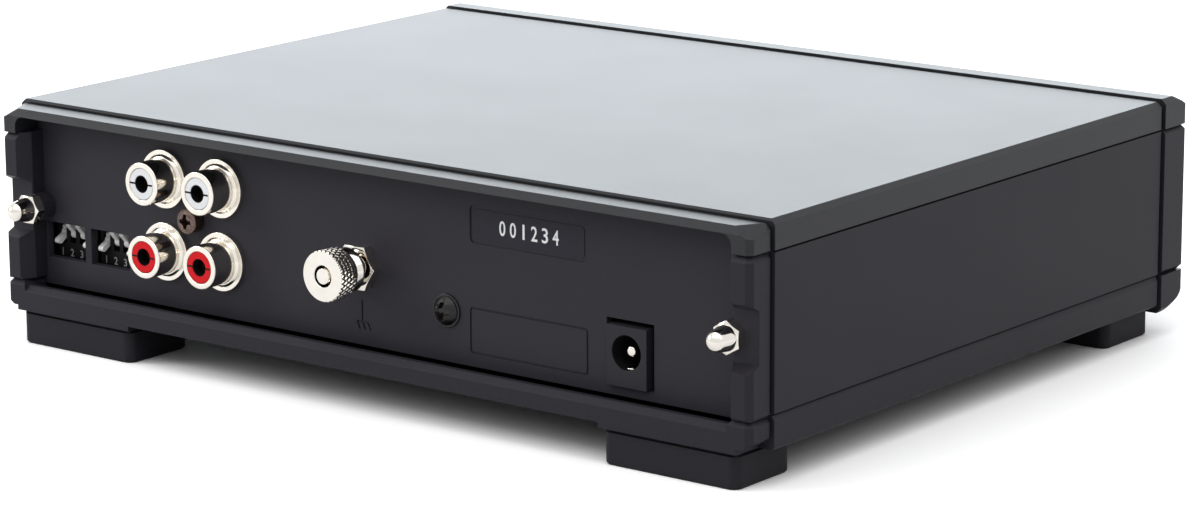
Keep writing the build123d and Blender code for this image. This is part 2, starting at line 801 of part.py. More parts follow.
def make_rear_panel():
    """Panel with its cut-outs, a recess for a plate, an engraved frame and the ground sign."""
    middle = block(
        (-panel_window_half_width, panel_window_half_width), (panel_back, 0), (panel_bottom, panel_top)
    )
    ears = block(
        (-panel_half_width, panel_half_width),
        (panel_back, 0),
        (base_seam + panel_clearance, cover_seam - panel_clearance),
    )
    low_half_width = post_inner - part_gap / 2 - panel_clearance
    low_corner_z = (panel_bottom, base_seam + panel_clearance)
    low_corner = block((low_half_width, post_inner), (panel_back, 0), low_corner_z)
    panel = middle + ears - both_sides(low_corner)
    rod_hole = rod(tie_rod_x, tie_rod_height, tie_rod_radius + seat_clearance, (panel_back, 0))
    panel = panel - both_sides(rod_hole)

    for x in socket_columns:
        for z in socket_rows:
            panel = panel - rod(x, z, socket_shank_radius + seat_clearance, (panel_back, 0))
    single_holes = [
        (socket_screw_x, socket_screw_height, socket_screw_radius),
        (panel_screw_x, panel_screw_height, panel_screw_radius),
        (ground_x, ground_height, ground_stud_radius),
    ]
    for x, z, radius in single_holes:
        panel = panel - rod(x, z, radius + seat_clearance, (panel_back, 0))
    inlet_cut = block(
        inlet_cutout_span(),
        (panel_back, 0),
        (board_top - inlet_cutout_bottom_gap, board_top + inlet_height + inlet_cutout_top_gap),
    )
    panel = panel - inlet_cut
    for x in switch_centres:
        window_x = (x - switch_window_width / 2, x + switch_window_width / 2)
        window_z = (switch_window_bottom, switch_window_bottom + switch_window_height)
        panel = panel - block(window_x, (panel_back, 0), window_z)

    recess = RectangleRounded(plate_recess_width, plate_recess_height, plate_recess_radius)
    panel = panel - along_y(Pos(plate_x, plate_recess_centre_height) * recess, (-engraving_depth, 0))
    outer = RectangleRounded(frame_width, frame_height, frame_radius)
    inner = RectangleRounded(
        frame_width - 2 * frame_line_width,
        frame_height - 2 * frame_line_width,
        frame_radius - frame_line_width,
    )
    panel = panel - along_y(Pos(plate_x, frame_centre_height) * (outer - inner), (-engraving_depth, 0))
    return panel - ground_mark()


def make_tie_rods():
    """Two threaded rods from the front bosses to the dome nuts."""
    start = front_inner_face + tie_boss_length - tie_thread_depth + seat_clearance
    end = notch_floor + tie_rod_projection
    return both_sides(rod(tie_rod_x, tie_rod_height, tie_rod_radius, (start, end)))


def make_dome_nuts():
    """Two hexagonal nuts with a domed end, one with a flat on top and one with a corner on top."""
    seat = notch_floor
    hex_end = seat + dome_nut_thickness
    barrel_end = hex_end + dome_nut_barrel
    bore_end = seat + tie_rod_projection + seat_clearance
    barrel = rod(tie_rod_x, tie_rod_height, dome_radius, (hex_end, barrel_end))
    ball = Pos(tie_rod_x, barrel_end, tie_rod_height) * Sphere(dome_radius)
    bore = rod(tie_rod_x, tie_rod_height, tie_rod_radius + thread_clearance, (seat, bore_end))
    flat_on_top = hexagon(tie_rod_x, tie_rod_height, dome_nut_flats, (seat, hex_end), 0)
    corner_on_top = hexagon(tie_rod_x, tie_rod_height, dome_nut_flats, (seat, hex_end), dome_nut_turn)
    right_nut = flat_on_top + barrel + ball - bore
    left_nut = corner_on_top + barrel + ball - bore
    return right_nut + mirrored(left_nut)


# ---------------------------------------------------------------- feet

def make_foot(side, y_span):
    """Foot block with a smaller neck against the case and a recess for its screw."""
    x_low, x_high = foot_x_span()
    middle_x = (x_low + x_high) / 2
    middle_y = sum(y_span) / 2
    pad_outline = RectangleRounded(foot_width, foot_length, foot_corner_radius)
    pad = Pos(middle_x, middle_y, foot_bottom) * extrude(pad_outline, foot_height)
    pad = chamfer(pad.faces().sort_by(Axis.Z)[0].edges(), foot_edge_chamfer)
    neck = block(
        (x_low + foot_neck_inset, x_high - foot_neck_inset),
        (y_span[0] + foot_neck_inset, y_span[1] - foot_neck_inset),
        (-foot_neck_height, 0),
    )
    under_front_rim = block((x_low, x_high), (front_face, front_bezel_rear), (front_bottom, 0))
    foot = pad + neck - under_front_rim
    recess_top = foot_bottom + foot_screw_recess
    recess_radius = foot_screw_head_radius + seat_clearance
    foot = foot - post(middle_x, middle_y, recess_radius, (foot_bottom, recess_top))
    foot = foot - post(middle_x, middle_y, foot_screw_radius + seat_clearance, (recess_top, 0))
    return foot if side == RIGHT else mirrored(foot)


def make_foot_screws():
    """Four pan-head screws, driven upwards through the feet."""
    recess_top = foot_bottom + foot_screw_recess
    screws = []
    for x, y in foot_screw_places():
        head = post(x, y, foot_screw_head_radius, (recess_top - foot_screw_head_height, recess_top))
        shank = post(x, y, foot_screw_radius, (recess_top, foot_screw_bite - seat_clearance))
        slot_length = foot_screw_head_radius * recess_length_share
        slot = Box(slot_length, foot_screw_slot_width, 2 * foot_screw_slot_depth)
        slot = slot + Box(foot_screw_slot_width, slot_length, 2 * foot_screw_slot_depth)
        screws.append(head + shank - Pos(x, y, recess_top - foot_screw_head_height) * slot)
    return group(screws)


# ---------------------------------------------------------------- phono sockets

def make_socket_shell(x, z):
    """Plated outer contact: a barrel, a collar, a flange on the panel and a shank behind it."""
    collar_end = socket_flange_thickness + socket_collar_thickness
    inner_radius = socket_barrel_radius - socket_barrel_wall
    solid = rod(x, z, socket_flange_radius, (0, socket_flange_thickness))
    solid = chamfer(solid.edges().group_by(Axis.Y)[-1], socket_flange_chamfer)
    solid = solid + rod(x, z, socket_collar_radius, (socket_flange_thickness, collar_end))
    barrel = rod(x, z, socket_barrel_radius, (collar_end, socket_reach))
    barrel = chamfer(barrel.edges().group_by(Axis.Y)[-1], socket_barrel_chamfer)
    solid = solid + barrel + rod(x, z, socket_shank_radius, (-socket_shank_length, 0))
    return solid - rod(x, z, inner_radius, (-socket_shank_length, socket_reach))


def make_socket_insulator(x, z):
    """Coloured sleeve that holds the centre contact, with a slot across its face."""
    face = socket_reach - insulator_setback
    radius = socket_barrel_radius - socket_barrel_wall - press_clearance
    sleeve = rod(x, z, radius, (-socket_shank_length, face))
    contact_face = face - contact_setback
    sleeve = sleeve - rod(x, z, contact_bore_radius, (contact_face, face))
    sleeve = sleeve - rod(
        x, z, contact_bore_radius + contact_wall + press_clearance, (-socket_shank_length, contact_face)
    )
    slot_half = insulator_slot_width / 2
    slot_x = (x - radius, x + radius)
    return sleeve - block(slot_x, (face - insulator_slot_depth, face), (z - slot_half, z + slot_half))


def make_socket_contacts():
    """Four sprung tubes that take the plugs' centre pins."""
    contact_face = socket_reach - insulator_setback - contact_setback
    tubes = []
    for x in socket_columns:
        for z in socket_rows:
            tube_span = (contact_face - contact_length, contact_face)
            tube = rod(x, z, contact_bore_radius + contact_wall, tube_span)
            bore_span = (contact_face - contact_length + contact_wall, contact_face)
            tube = tube - rod(x, z, contact_bore_radius, bore_span)
            tubes.append(tube)
    return group(tubes)


def make_socket_block():
    """Moulded block behind the panel that carries the four sockets and stands on the board."""
    x_span = (socket_columns[1] - socket_block_margin, socket_columns[0] + socket_block_margin)
    z_top = cover_ceiling - socket_block_top_gap
    body = block(x_span, (panel_back - socket_block_depth, panel_back), (board_top, z_top))
    for x in socket_columns:
        for z in socket_rows:
            body = body - rod(x, z, socket_shank_radius + press_clearance, (-socket_shank_length, panel_back))
    screw_end = panel_back - socket_screw_length
    return body - rod(
        socket_screw_x, socket_screw_height, socket_screw_radius + thread_clearance, (screw_end, panel_back)
    )


def make_screw(x, z, head_radius, head_height, shank_radius, length):
    """Pan-head screw driven into the panel from the back of the case."""
    head = rod(x, z, head_radius, (0, head_height))
    rim = head.edges().group_by(Axis.Y)[-1]
    head = chamfer(rim, head_height * screw_head_chamfer_share)
    shank = rod(x, z, shank_radius, (panel_back - length + seat_clearance, 0))
    return head + shank - cross_recess(x, z, head_height, head_radius)


def make_panel_screw_boss():
    """Bracket behind the panel: it stands on the board and takes the panel screw."""
    start = panel_back - panel_screw_length
    top = panel_screw_height + panel_screw_boss_radius
    body = block(
        (panel_screw_x - panel_screw_boss_radius, panel_screw_x + panel_screw_boss_radius),
        (start, panel_back),
        (board_top, top),
    )
    hole_radius = panel_screw_radius + thread_clearance
    return body - rod(panel_screw_x, panel_screw_height, hole_radius, (start, panel_back))


# ---------------------------------------------------------------- ground post

def make_ground_stud():
    """Threaded stud with a round head behind the panel; its free end is flush with the thumb nut."""
    head_front = panel_back - tag_thickness
    head = rod(ground_x, ground_height, ground_head_radius, (head_front - ground_head_thickness, head_front))
    return head + rod(ground_x, ground_height, ground_stud_radius, (head_front, thumb_nut_face))


def make_ground_hex_nut():
    """Hexagonal nut that clamps the stud to the panel."""
    nut = hexagon(ground_x, ground_height, ground_hex_flats, (0, ground_hex_thickness), ground_hex_turn)
    hole_radius = ground_stud_radius + thread_clearance
    return nut - rod(ground_x, ground_height, hole_radius, (0, ground_hex_thickness))


def make_clamp_collar():
    """Plain collar of the thumb nut, which presses on the wire and doesn't have to turn."""
    start = ground_hex_thickness + ground_wire_gap
    end = start + collar_thickness
    collar = rod(ground_x, ground_height, collar_radius, (start, end))
    return collar - rod(ground_x, ground_height, ground_stud_radius + running_clearance, (start, end))


def make_thumb_nut():
    """Knurled nut behind the collar, drawn here as a plain drum with bevelled ends."""
    start = thumb_nut_face - thumb_nut_thickness
    nut = rod(ground_x, ground_height, thumb_nut_radius, (start, thumb_nut_face))
    nut = chamfer(nut.edges(), thumb_nut_chamfer)
    return nut - rod(ground_x, ground_height, ground_stud_radius + running_clearance, (start, thumb_nut_face))


def make_solder_tag():
    """Flat tag under the stud's head, whose tail is soldered to the board."""
    span = (panel_back - tag_thickness, panel_back)
    disc = rod(ground_x, ground_height, tag_half_width, span)
    tail_x = (ground_x - tag_tail_half_width, ground_x + tag_tail_half_width)
    tail = block(tail_x, span, (board_bottom, ground_height))
    foot_span = (panel_back - tag_thickness - 2 * tag_tail_half_width, panel_back - tag_thickness)
    foot = block(tail_x, foot_span, (board_top, board_top + tag_thickness))
    tag = disc + tail + foot
    return tag - rod(ground_x, ground_height, ground_stud_radius + seat_clearance, span)


# ---------------------------------------------------------------- power inlet

def make_jack_housing():
    """Moulded block with a round hole for the plug."""
    x_span = (inlet_x - inlet_width / 2, inlet_x + inlet_width / 2)
    body = block(x_span, (inlet_proud - inlet_depth, inlet_proud), (board_top, board_top + inlet_height))
    hole_end = inlet_proud - inlet_hole_depth
    body = body - rod(inlet_x, inlet_hole_z, inlet_hole_radius, (hole_end, inlet_proud))
    pin_hole_radius = inlet_pin_root_radius + press_clearance
    body = body - rod(inlet_x, inlet_hole_z, pin_hole_radius, (inlet_proud - inlet_depth, hole_end))
    spring_half = inlet_spring_width / 2 + press_clearance
    spring_slot = block(
        (inlet_x - spring_half, inlet_x + spring_half),
        (hole_end, inlet_proud - inlet_pin_setback),
        (inlet_hole_z - inlet_hole_radius - inlet_spring_thickness, inlet_hole_z - inlet_hole_radius / 2),
    )
    return body - spring_slot


def make_jack_pin():
    """Centre pin of the power inlet, with a rounded tip and a thicker root in the housing."""
    tip = inlet_proud - inlet_pin_setback
    hole_end = inlet_proud - inlet_hole_depth
    pin = rod(inlet_x, inlet_hole_z, inlet_pin_radius, (hole_end, tip))
    pin = fillet(pin.edges().group_by(Axis.Y)[-1], inlet_pin_tip_radius)
    return pin + rod(inlet_x, inlet_hole_z, inlet_pin_root_radius, (inlet_proud - inlet_depth, hole_end))


def make_jack_spring():
    """Flat spring contact in the floor of the inlet's hole."""
    start = inlet_proud - inlet_hole_depth
    end = inlet_proud - inlet_pin_setback
    low = inlet_hole_z - inlet_hole_radius - inlet_spring_thickness
    half = inlet_spring_width / 2
    rise = inlet_spring_thickness
    outline = [
        (start, low),
        (end, low),
        (end, low + rise),
        ((start + end) / 2, low + 2 * rise),
        (start, low + rise),
    ]
    return along_x(outline, (inlet_x - half, inlet_x + half))


# ---------------------------------------------------------------- setting switches

def lever_places(centre):
    """X of each lever of one switch, from number one to the last, outermost first."""
    middle = (lever_count - 1) / 2
    return [centre + (middle - index) * lever_pitch for index in range(lever_count)]


def make_switch_body(centre):
    """Moulded block with one slot per lever and a hole for the axle."""
    body = block(
        (centre - switch_body_width / 2, centre + switch_body_width / 2),
        (switch_face - switch_body_depth, switch_face),
        (board_top, board_top + switch_body_height),
    )
    slot_z = (lever_pivot_z - lever_slot_bottom_drop, lever_pivot_z + lever_slot_top_rise)
    for x in lever_places(centre):
        slot_x = (x - lever_slot_width / 2, x + lever_slot_width / 2)
        body = body - block(slot_x, (switch_face - lever_slot_depth, switch_face), slot_z)
    hole_length = switch_body_width - 2 * axle_end_margin
    hole = Cylinder(axle_radius + press_clearance, hole_length, rotation=(0, 90, 0))
    return body - Pos(centre, lever_pivot_y, lever_pivot_z) * hole


def make_switch_axle(centre):
    """Pin that all levers of one switch turn on."""
    length = switch_body_width - 2 * axle_end_margin
    return Pos(centre, lever_pivot_y, lever_pivot_z) * Cylinder(axle_radius, length, rotation=(0, 90, 0))


def make_lever(x, angle):
    """Lever with a round hub, a long finger that widens to its tip and a short nub above it."""
    hub = Circle(lever_hub_radius)
    finger = make_face(
        Polyline(
            (0, -lever_root_half_thickness),
            (lever_length, -lever_tip_radius),
            (lever_length, lever_tip_radius),
            (0, lever_root_half_thickness),
            close=True,
        )
    )
    tip = Pos(lever_length, 0) * Circle(lever_tip_radius)
    nub = Pos(lever_nub_length / 2, 0) * Rectangle(lever_nub_length, 2 * lever_nub_radius)
    nub = Rot(0, 0, lever_nub_angle) * nub
    nub_tip = Rot(0, 0, lever_nub_angle) * (Pos(lever_nub_length, 0) * Circle(lever_nub_radius))
    bore = Circle(axle_radius + running_clearance)
    outline = Rot(0, 0, angle) * (hub + finger + tip + nub + nub_tip - bore)
    lever = extrude(Plane.YZ * outline, lever_width / 2, both=True)
    return Pos(x, lever_pivot_y, lever_pivot_z) * lever


# ---------------------------------------------------------------- circuit board and its parts

def make_circuit_board():
    """Board on four bosses, held by a screw in each."""
    board_x = (-board_half_width, board_half_width)
    board = block(board_x, (board_front, board_rear), (board_bottom, board_top))
    for x, y in board_screw_places():
        board = board - post(x, y, board_screw_radius + seat_clearance, (board_bottom, board_top))
    return board


def make_board_screws():
    """Four screws that hold the board on its bosses."""
    screws = []
    for x, y in board_screw_places():
        head = post(x, y, board_screw_head_radius, (board_top, board_top + board_screw_head_height))
        shank = post(x, y, board_screw_radius, (floor_top / 2 + seat_clearance, board_top))
        slot_length = board_screw_head_radius * recess_length_share
        slot = Box(slot_length, board_screw_slot_width, 2 * board_screw_slot_depth)
        slot = slot + Box(board_screw_slot_width, slot_length, 2 * board_screw_slot_depth)
        screws.append(head + shank - Pos(x, y, board_top + board_screw_head_height) * slot)
    return group(screws)


def stand_on_board(shape, x, y, height):
    """A shape that is centred on its own middle, stood on the board at one place."""
    return Pos(x, y, board_top + height / 2) * shape


def board_y(share):
    """A place along the board, as a share of its length from the back to the front."""
    return board_rear + (board_front - board_rear) * share


def make_supply_capacitors():
    """Four large smoothing capacitors beside the power inlet."""
    can = Cylinder(supply_capacitor_radius, supply_capacitor_height)
    can = fillet(can.edges().group_by(Axis.Z)[-1], supply_capacitor_edge)
    pitch = 2 * supply_capacitor_radius + part_gap
    cans = [
        stand_on_board(
            can,
            inlet_x + column * pitch,
            board_y(supply_capacitor_share) - row * pitch,
            supply_capacitor_height,
        )
        for column in range(supply_capacitor_columns)
        for row in range(supply_capacitor_rows)
    ]
    return group(cans)


def make_small_capacitors():
    """Coupling capacitors in two rows, one row for each channel."""
    can = Cylinder(small_capacitor_radius, small_capacitor_height)
    can = fillet(can.edges().group_by(Axis.Z)[-1], small_capacitor_edge)
    pitch = 2 * small_capacitor_radius + small_capacitor_gap
    cans = [
        stand_on_board(can, socket_columns[0] - column * pitch, board_y(share), small_capacitor_height)
        for column in range(small_capacitor_columns)
        for share in small_capacitor_shares
    ]
    return group(cans)


def make_film_capacitors():
    """Box-shaped film capacitors of the equalising network."""
    width, depth, height = film_capacitor_size
    box = fillet(Box(width, depth, height).edges(), film_capacitor_edge)
    pitch_x = width + film_capacitor_side_gap
    pitch_y = depth + film_capacitor_end_gap
    first_y = board_y(film_capacitor_share)
    boxes = [
        stand_on_board(box, socket_columns[0] - column * pitch_x, first_y - row * pitch_y, height)
        for column in range(film_capacitor_columns)
        for row in range(film_capacitor_rows)
    ]
    return group(boxes)


def make_amplifier_chips():
    """Four small amplifier chips between the film capacitors and the front."""
    width, depth, height = chip_size
    chip = Box(width, depth, height)
    pitch = width + chip_gap
    chips = [
        stand_on_board(chip, socket_columns[0] - column * pitch, board_y(chip_share), height)
        for column in range(chip_count)
    ]
    return group(chips)


def make_resistors():
    """Twelve resistors in two rows in front of the switches."""
    body = Cylinder(resistor_radius, resistor_length, rotation=(90, 0, 0))
    pitch = 2 * resistor_radius + resistor_gap
    height = 2 * resistor_radius
    bodies = [
        stand_on_board(body, socket_columns[0] - column * pitch, board_y(share), height)
        for column in range(resistor_columns)
        for share in resistor_shares
    ]
    return group(bodies)


def heat_sink_place():
    """Middle of the heat sink's rear face."""
    return (inlet_x + supply_capacitor_radius, board_y(heat_sink_share))


def make_heat_sink():
    """Finned strip that cools the two regulators."""
    width, depth, height = heat_sink_size
    x, y = heat_sink_place()
    z_span = (board_top, board_top + height)
    base = block((x - width / 2, x + width / 2), (y - heat_sink_base_thickness, y), z_span)
    fin_room = (width - heat_sink_fin_thickness) / (heat_sink_fin_count - 1)
    sink = base
    for index in range(heat_sink_fin_count):
        low = x - width / 2 + index * fin_room
        sink = sink + block((low, low + heat_sink_fin_thickness), (y - depth, y), z_span)
    return sink


def make_regulators():
    """Two voltage regulators clamped to the rear face of the heat sink."""
    width, depth, height = regulator_size
    x, y = heat_sink_place()
    bodies = []
    for side in (RIGHT, LEFT):
        centre = x + side * width
        body = block(
            (centre - width / 2, centre + width / 2),
            (y, y + depth),
            (board_top + regulator_foot, board_top + height),
        )
        for lead in (-1, 0, 1):
            lead_x = centre + lead * lever_pitch
            body = body + block(
                (lead_x - led_lead_width / 2, lead_x + led_lead_width / 2),
                (y + depth / 2 - led_lead_width / 2, y + depth / 2 + led_lead_width / 2),
                (board_top, board_top + regulator_foot),
            )
        bodies.append(body)
    return group(bodies)


def make_bridge_rectifier():
    """Rectifier in front of the power inlet."""
    place_y = inlet_proud - inlet_depth - bridge_size[1]
    return stand_on_board(Box(*bridge_size), inlet_x, place_y, bridge_size[2])


def make_solder_joints():
    """Solder cones under the board, below the sockets, switches and the power inlet."""
    cone = Cone(solder_tip_radius, solder_radius, solder_height)
    places = []
    for centre in switch_centres:
        for x in lever_places(centre):
            for share in solder_row_shares:
                places.append((x, switch_face - share * switch_body_depth))
    for x in socket_columns:
        for share in solder_row_shares:
            places.append((x, panel_back - share * socket_block_depth))
    for share in solder_row_shares:
        places.append((inlet_x, board_rear - share * (inlet_depth - inlet_proud)))
    joints = [Pos(x, y, board_bottom - solder_height / 2) * cone for x, y in places]
    return group(joints)


def make_indicator_lens():
    """Round lens in the front plate, with a flange behind it."""
    lens = rod(indicator_x, indicator_z, indicator_radius, (front_face, front_inner_face))
    flange_end = front_inner_face + indicator_flange_thickness
    return lens + rod(indicator_x, indicator_z, indicator_flange_radius, (front_inner_face, flange_end))


def make_indicator_led():
    """Small lamp behind the lens, on two leads that are bent down to the board."""
    start = front_inner_face + indicator_flange_thickness + seat_clearance
    body = rod(indicator_x, indicator_z, indicator_radius, (start, start + led_length))
    lead_end = board_front + part_gap
    lamp = body
    for side in (RIGHT, LEFT):
        x = indicator_x + side * indicator_radius / 2
        x_span = (x - led_lead_width / 2, x + led_lead_width / 2)
        half = led_lead_width / 2
        level = block(x_span, (start + led_length, lead_end), (indicator_z - half, indicator_z + half))
        upright = block(x_span, (lead_end - led_lead_width, lead_end), (board_top, indicator_z + half))
        lamp = lamp + level + upright
    return lamp


# ---------------------------------------------------------------- all nodes

def make_all():
    """Every node of the object, by name."""
    rear_span, front_span = foot_y_spans()
    nodes = {
        "top_cover": make_top_cover(),
        "base_shell": make_base_shell(),
        "side_wall_right": make_side_wall(RIGHT),
        "side_wall_left": make_side_wall(LEFT),
        "front_panel": make_front_panel(),
        "rear_panel": make_rear_panel(),
        "tie_rods": make_tie_rods(),
        "dome_nuts": make_dome_nuts(),
        "foot_rear_right": make_foot(RIGHT, rear_span),
        "foot_rear_left": make_foot(LEFT, rear_span),
        "foot_front_right": make_foot(RIGHT, front_span),
        "foot_front_left": make_foot(LEFT, front_span),
        "foot_screws": make_foot_screws(),
        "socket_block": make_socket_block(),
        "socket_contacts": make_socket_contacts(),
        "socket_screw": make_screw(
            socket_screw_x,
            socket_screw_height,
            socket_screw_head_radius,
            socket_screw_head_height,
            socket_screw_radius,
            socket_screw_length,
        ),
        "panel_screw": make_screw(
            panel_screw_x,
            panel_screw_height,
            panel_screw_head_radius,
            panel_screw_head_height,
            panel_screw_radius,
            panel_screw_length,
        ),
        "panel_bracket": make_panel_screw_boss(),
        "ground_stud": make_ground_stud(),
        "ground_hex_nut": make_ground_hex_nut(),
        "clamp_collar": make_clamp_collar(),
        "thumb_nut": make_thumb_nut(),
        "solder_tag": make_solder_tag(),
        "jack_housing": make_jack_housing(),
        "jack_pin": make_jack_pin(),
        "jack_spring": make_jack_spring(),
        "circuit_board": make_circuit_board(),
        "board_screws": make_board_screws(),
        "supply_capacitors": make_supply_capacitors(),
        "small_capacitors": make_small_capacitors(),
        "film_capacitors": make_film_capacitors(),
        "amplifier_chips": make_amplifier_chips(),
        "resistors": make_resistors(),
        "heat_sink": make_heat_sink(),
        "regulators": make_regulators(),
        "bridge_rectifier": make_bridge_rectifier(),
        "solder_joints": make_solder_joints(),
        "indicator_lens": make_indicator_lens(),
        "indicator_led": make_indicator_led(),
    }
    for row_name, z in zip(("upper", "lower"), socket_rows):
        for column_name, x in zip(("outer", "inner"), socket_columns):
            nodes[f"socket_shell_{row_name}_{column_name}"] = make_socket_shell(x, z)
            nodes[f"socket_insulator_{row_name}_{column_name}"] = make_socket_insulator(x, z)
    for switch_name, centre in zip(("outer", "inner"), switch_centres):
        nodes[f"switch_body_{switch_name}"] = make_switch_body(centre)
        nodes[f"switch_axle_{switch_name}"] = make_switch_axle(centre)
        for index, x in enumerate(lever_places(centre)):
            angle = lever_up_angle if lever_rests_up[index] else lever_down_angle
            nodes[f"switch_lever_{switch_name}_{index + 1}"] = make_lever(x, angle)
    return nodes


def export_all():
    """Moves every node to the object's own origin and writes one file for each."""
    os.makedirs("parts", exist_ok=True)
    for name, shape in make_all().items():
        export_step(Pos(0, shift_y, shift_z) * shape, f"parts/{name}.step")


export_all()
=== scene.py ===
"""Looks of a flat phono preamplifier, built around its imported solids.

Lengths are written in millimetres and turned into metres where a mesh is made. A depth is a place
along Y, which points out of the back. X runs to the right of somebody who faces the front, and Z
runs up from the floor.
"""

from __future__ import annotations

import logging
import math
from collections.abc import Sequence
from dataclasses import dataclass
from enum import Enum

import bmesh
import bpy
import numpy as np
from mathutils import Matrix, Vector

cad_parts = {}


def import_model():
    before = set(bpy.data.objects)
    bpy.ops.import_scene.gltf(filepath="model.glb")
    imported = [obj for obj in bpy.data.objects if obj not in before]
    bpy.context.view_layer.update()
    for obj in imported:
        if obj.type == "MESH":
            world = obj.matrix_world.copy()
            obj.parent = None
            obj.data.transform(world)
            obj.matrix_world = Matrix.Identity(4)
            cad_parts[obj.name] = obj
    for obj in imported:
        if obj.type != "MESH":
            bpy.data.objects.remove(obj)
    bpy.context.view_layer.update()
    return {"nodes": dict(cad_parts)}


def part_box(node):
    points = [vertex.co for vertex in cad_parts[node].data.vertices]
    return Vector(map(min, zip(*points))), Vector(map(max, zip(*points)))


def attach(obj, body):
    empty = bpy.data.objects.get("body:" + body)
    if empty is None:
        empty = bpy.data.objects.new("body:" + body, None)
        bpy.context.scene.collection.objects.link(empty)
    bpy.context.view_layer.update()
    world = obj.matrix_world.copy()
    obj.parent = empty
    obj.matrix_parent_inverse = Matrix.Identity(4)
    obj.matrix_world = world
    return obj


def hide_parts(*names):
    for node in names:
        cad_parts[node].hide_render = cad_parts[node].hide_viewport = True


LOG = logging.getLogger("preamplifier")
MM = 0.001
CASE = "case"
ROUND_STEPS = 6
RING_STEPS = 96
SHARP_ANGLE = math.radians(28)
SAME_PLACE = 1e-6
MERGE_METRES = 1e-7
THIN_METRES = 1e-8

Pair = tuple[float, float]
Point = tuple[float, float, float]
Colour = tuple[float, float, float]
Inputs = dict[str | int, object]
Piece = bpy.types.Object
Socket = bpy.types.NodeSocket


# ------------------------------------------------------------------ places taken from the solids


@dataclass(frozen=True)
class NodeBox:
    """A solid's box, in millimetres."""

    low: Point
    high: Point

    @classmethod
    def of(cls, node: str) -> "NodeBox":
        """Reads the box of one solid by its name."""
        low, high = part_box(node)
        return cls(tuple(value / MM for value in low), tuple(value / MM for value in high))

    @property
    def middle(self) -> Point:
        """Middle of the box."""
        return tuple((a + b) / 2 for a, b in zip(self.low, self.high))

    @property
    def axis(self) -> Pair:
        """The (x, z) of an axis along Y through the middle."""
        return self.middle[0], self.middle[2]

    @property
    def radius(self) -> float:
        """Half the box's width along X."""
        return (self.high[0] - self.low[0]) / 2


# ------------------------------------------------------------------ surfaces


def rounded_profile(rows: Sequence[Point]) -> np.ndarray:
    """Rounds the inner corners of an open profile.

    Each corner P between its neighbours A and B becomes the curve
    (1-t)^2 S + 2t(1-t) P + t^2 E, where S and E lie on the two sides at the corner's cut from P.

    Args:
        rows: One (radius, depth, cut) per corner; a cut of 0 keeps the corner sharp.

    Returns:
        The rounded profile as (radius, depth) rows.
    """
    table = np.array(rows, float)
    corner, reach = table[:, :2], table[1:-1, 2:]
    middle = corner[1:-1]
    back, ahead = corner[:-2] - middle, corner[2:] - middle
    start = middle + back / np.linalg.norm(back, axis=1, keepdims=True) * reach
    end = middle + ahead / np.linalg.norm(ahead, axis=1, keepdims=True) * reach
    start, middle, end = (ends[:, None, :] for ends in (start, middle, end))
    step = np.linspace(0, 1, ROUND_STEPS)[None, :, None]
    curve = (1 - step) ** 2 * start + 2 * step * (1 - step) * middle + step**2 * end
    profile = np.concatenate([corner[:1], curve.reshape(-1, 2), corner[-1:]])
    apart = np.linalg.norm(np.diff(profile, axis=0), axis=1) > SAME_PLACE
    return profile[np.concatenate([[True], apart])]


def grid_faces(rows: int, columns: int, closed: bool) -> np.ndarray:
    """Quads of a grid whose columns run round and meet.

    Args:
        rows: Number of rows.
        columns: Number of columns.
        closed: Whether the last row also meets the first one.

    Returns:
        One row of four indices for each quad.
    """
    row = np.arange(rows if closed else rows - 1)[:, None] * columns
    above = (row + columns) % (rows * columns)
    column = np.arange(columns)[None, :]
    beside = (column + 1) % columns
    quads = np.broadcast_arrays(row + column, above + column, above + beside, row + beside)
    return np.stack(quads, axis=-1).reshape(-1, 4)


def linked(name: str, data: bpy.types.ID) -> Piece:
    """Makes an object and links it to the scene.

    Args:
        name: The object's name.
        data: Its mesh, text, lamp or camera.

    Returns:
        The new object, at the origin.
    """
    thing = bpy.data.objects.new(name, data)
    bpy.context.scene.collection.objects.link(thing)
    return thing


def make_object(name: str, points: np.ndarray, faces: np.ndarray) -> Piece:
    """Makes a smooth-shaded object that keeps its sharp edges, with its coinciding vertices merged.

    Args:
        name: The new object's name.
        points: One row per vertex, in millimetres.
        faces: One row of indices per face.

    Returns:
        The new object.
    """
    mesh = bpy.data.meshes.new(name)
    mesh.from_pydata((points * MM).tolist(), [], faces.tolist())
    work = bmesh.new()
    work.from_mesh(mesh)
    bmesh.ops.remove_doubles(work, verts=work.verts, dist=MERGE_METRES)
    bmesh.ops.dissolve_degenerate(work, edges=work.edges, dist=THIN_METRES)
    work.to_mesh(mesh)
    work.free()
    mesh.polygons.foreach_set("use_smooth", np.ones(len(mesh.polygons), bool))
    mesh.set_sharp_from_angle(angle=SHARP_ANGLE)
    return linked(name, mesh)


def joined(name: str, things: list[Piece]) -> Piece:
    """Joins objects, all at the origin, into a new one.

    Args:
        name: The joined object's name.
        things: Objects to join; they are removed.

    Returns:
        The joined object.
    """
    work = bmesh.new()
    for thing in things:
        work.from_mesh(thing.data)
    mesh = bpy.data.meshes.new(name)
    work.to_mesh(mesh)
    work.free()
    for thing in things:
        bpy.data.objects.remove(thing)
    return linked(name, mesh)


def ring_angles(columns: int = RING_STEPS) -> np.ndarray:
    """Angles of a ring's columns, evenly spread once round."""
    return np.linspace(0, 2 * np.pi, columns, endpoint=False)


def round_rows(profile: Sequence[Pair] | np.ndarray, columns: int = RING_STEPS) -> np.ndarray:
    """Carries (radius, depth) rows round: grids of radius and of depth, a column per angle."""
    return np.repeat(np.array(profile, float).T[:, :, None], columns, axis=2)


def stacked(*grids: np.ndarray) -> np.ndarray:
    """Puts the rows of several pairs of grids one after another."""
    return np.concatenate(grids, axis=1)


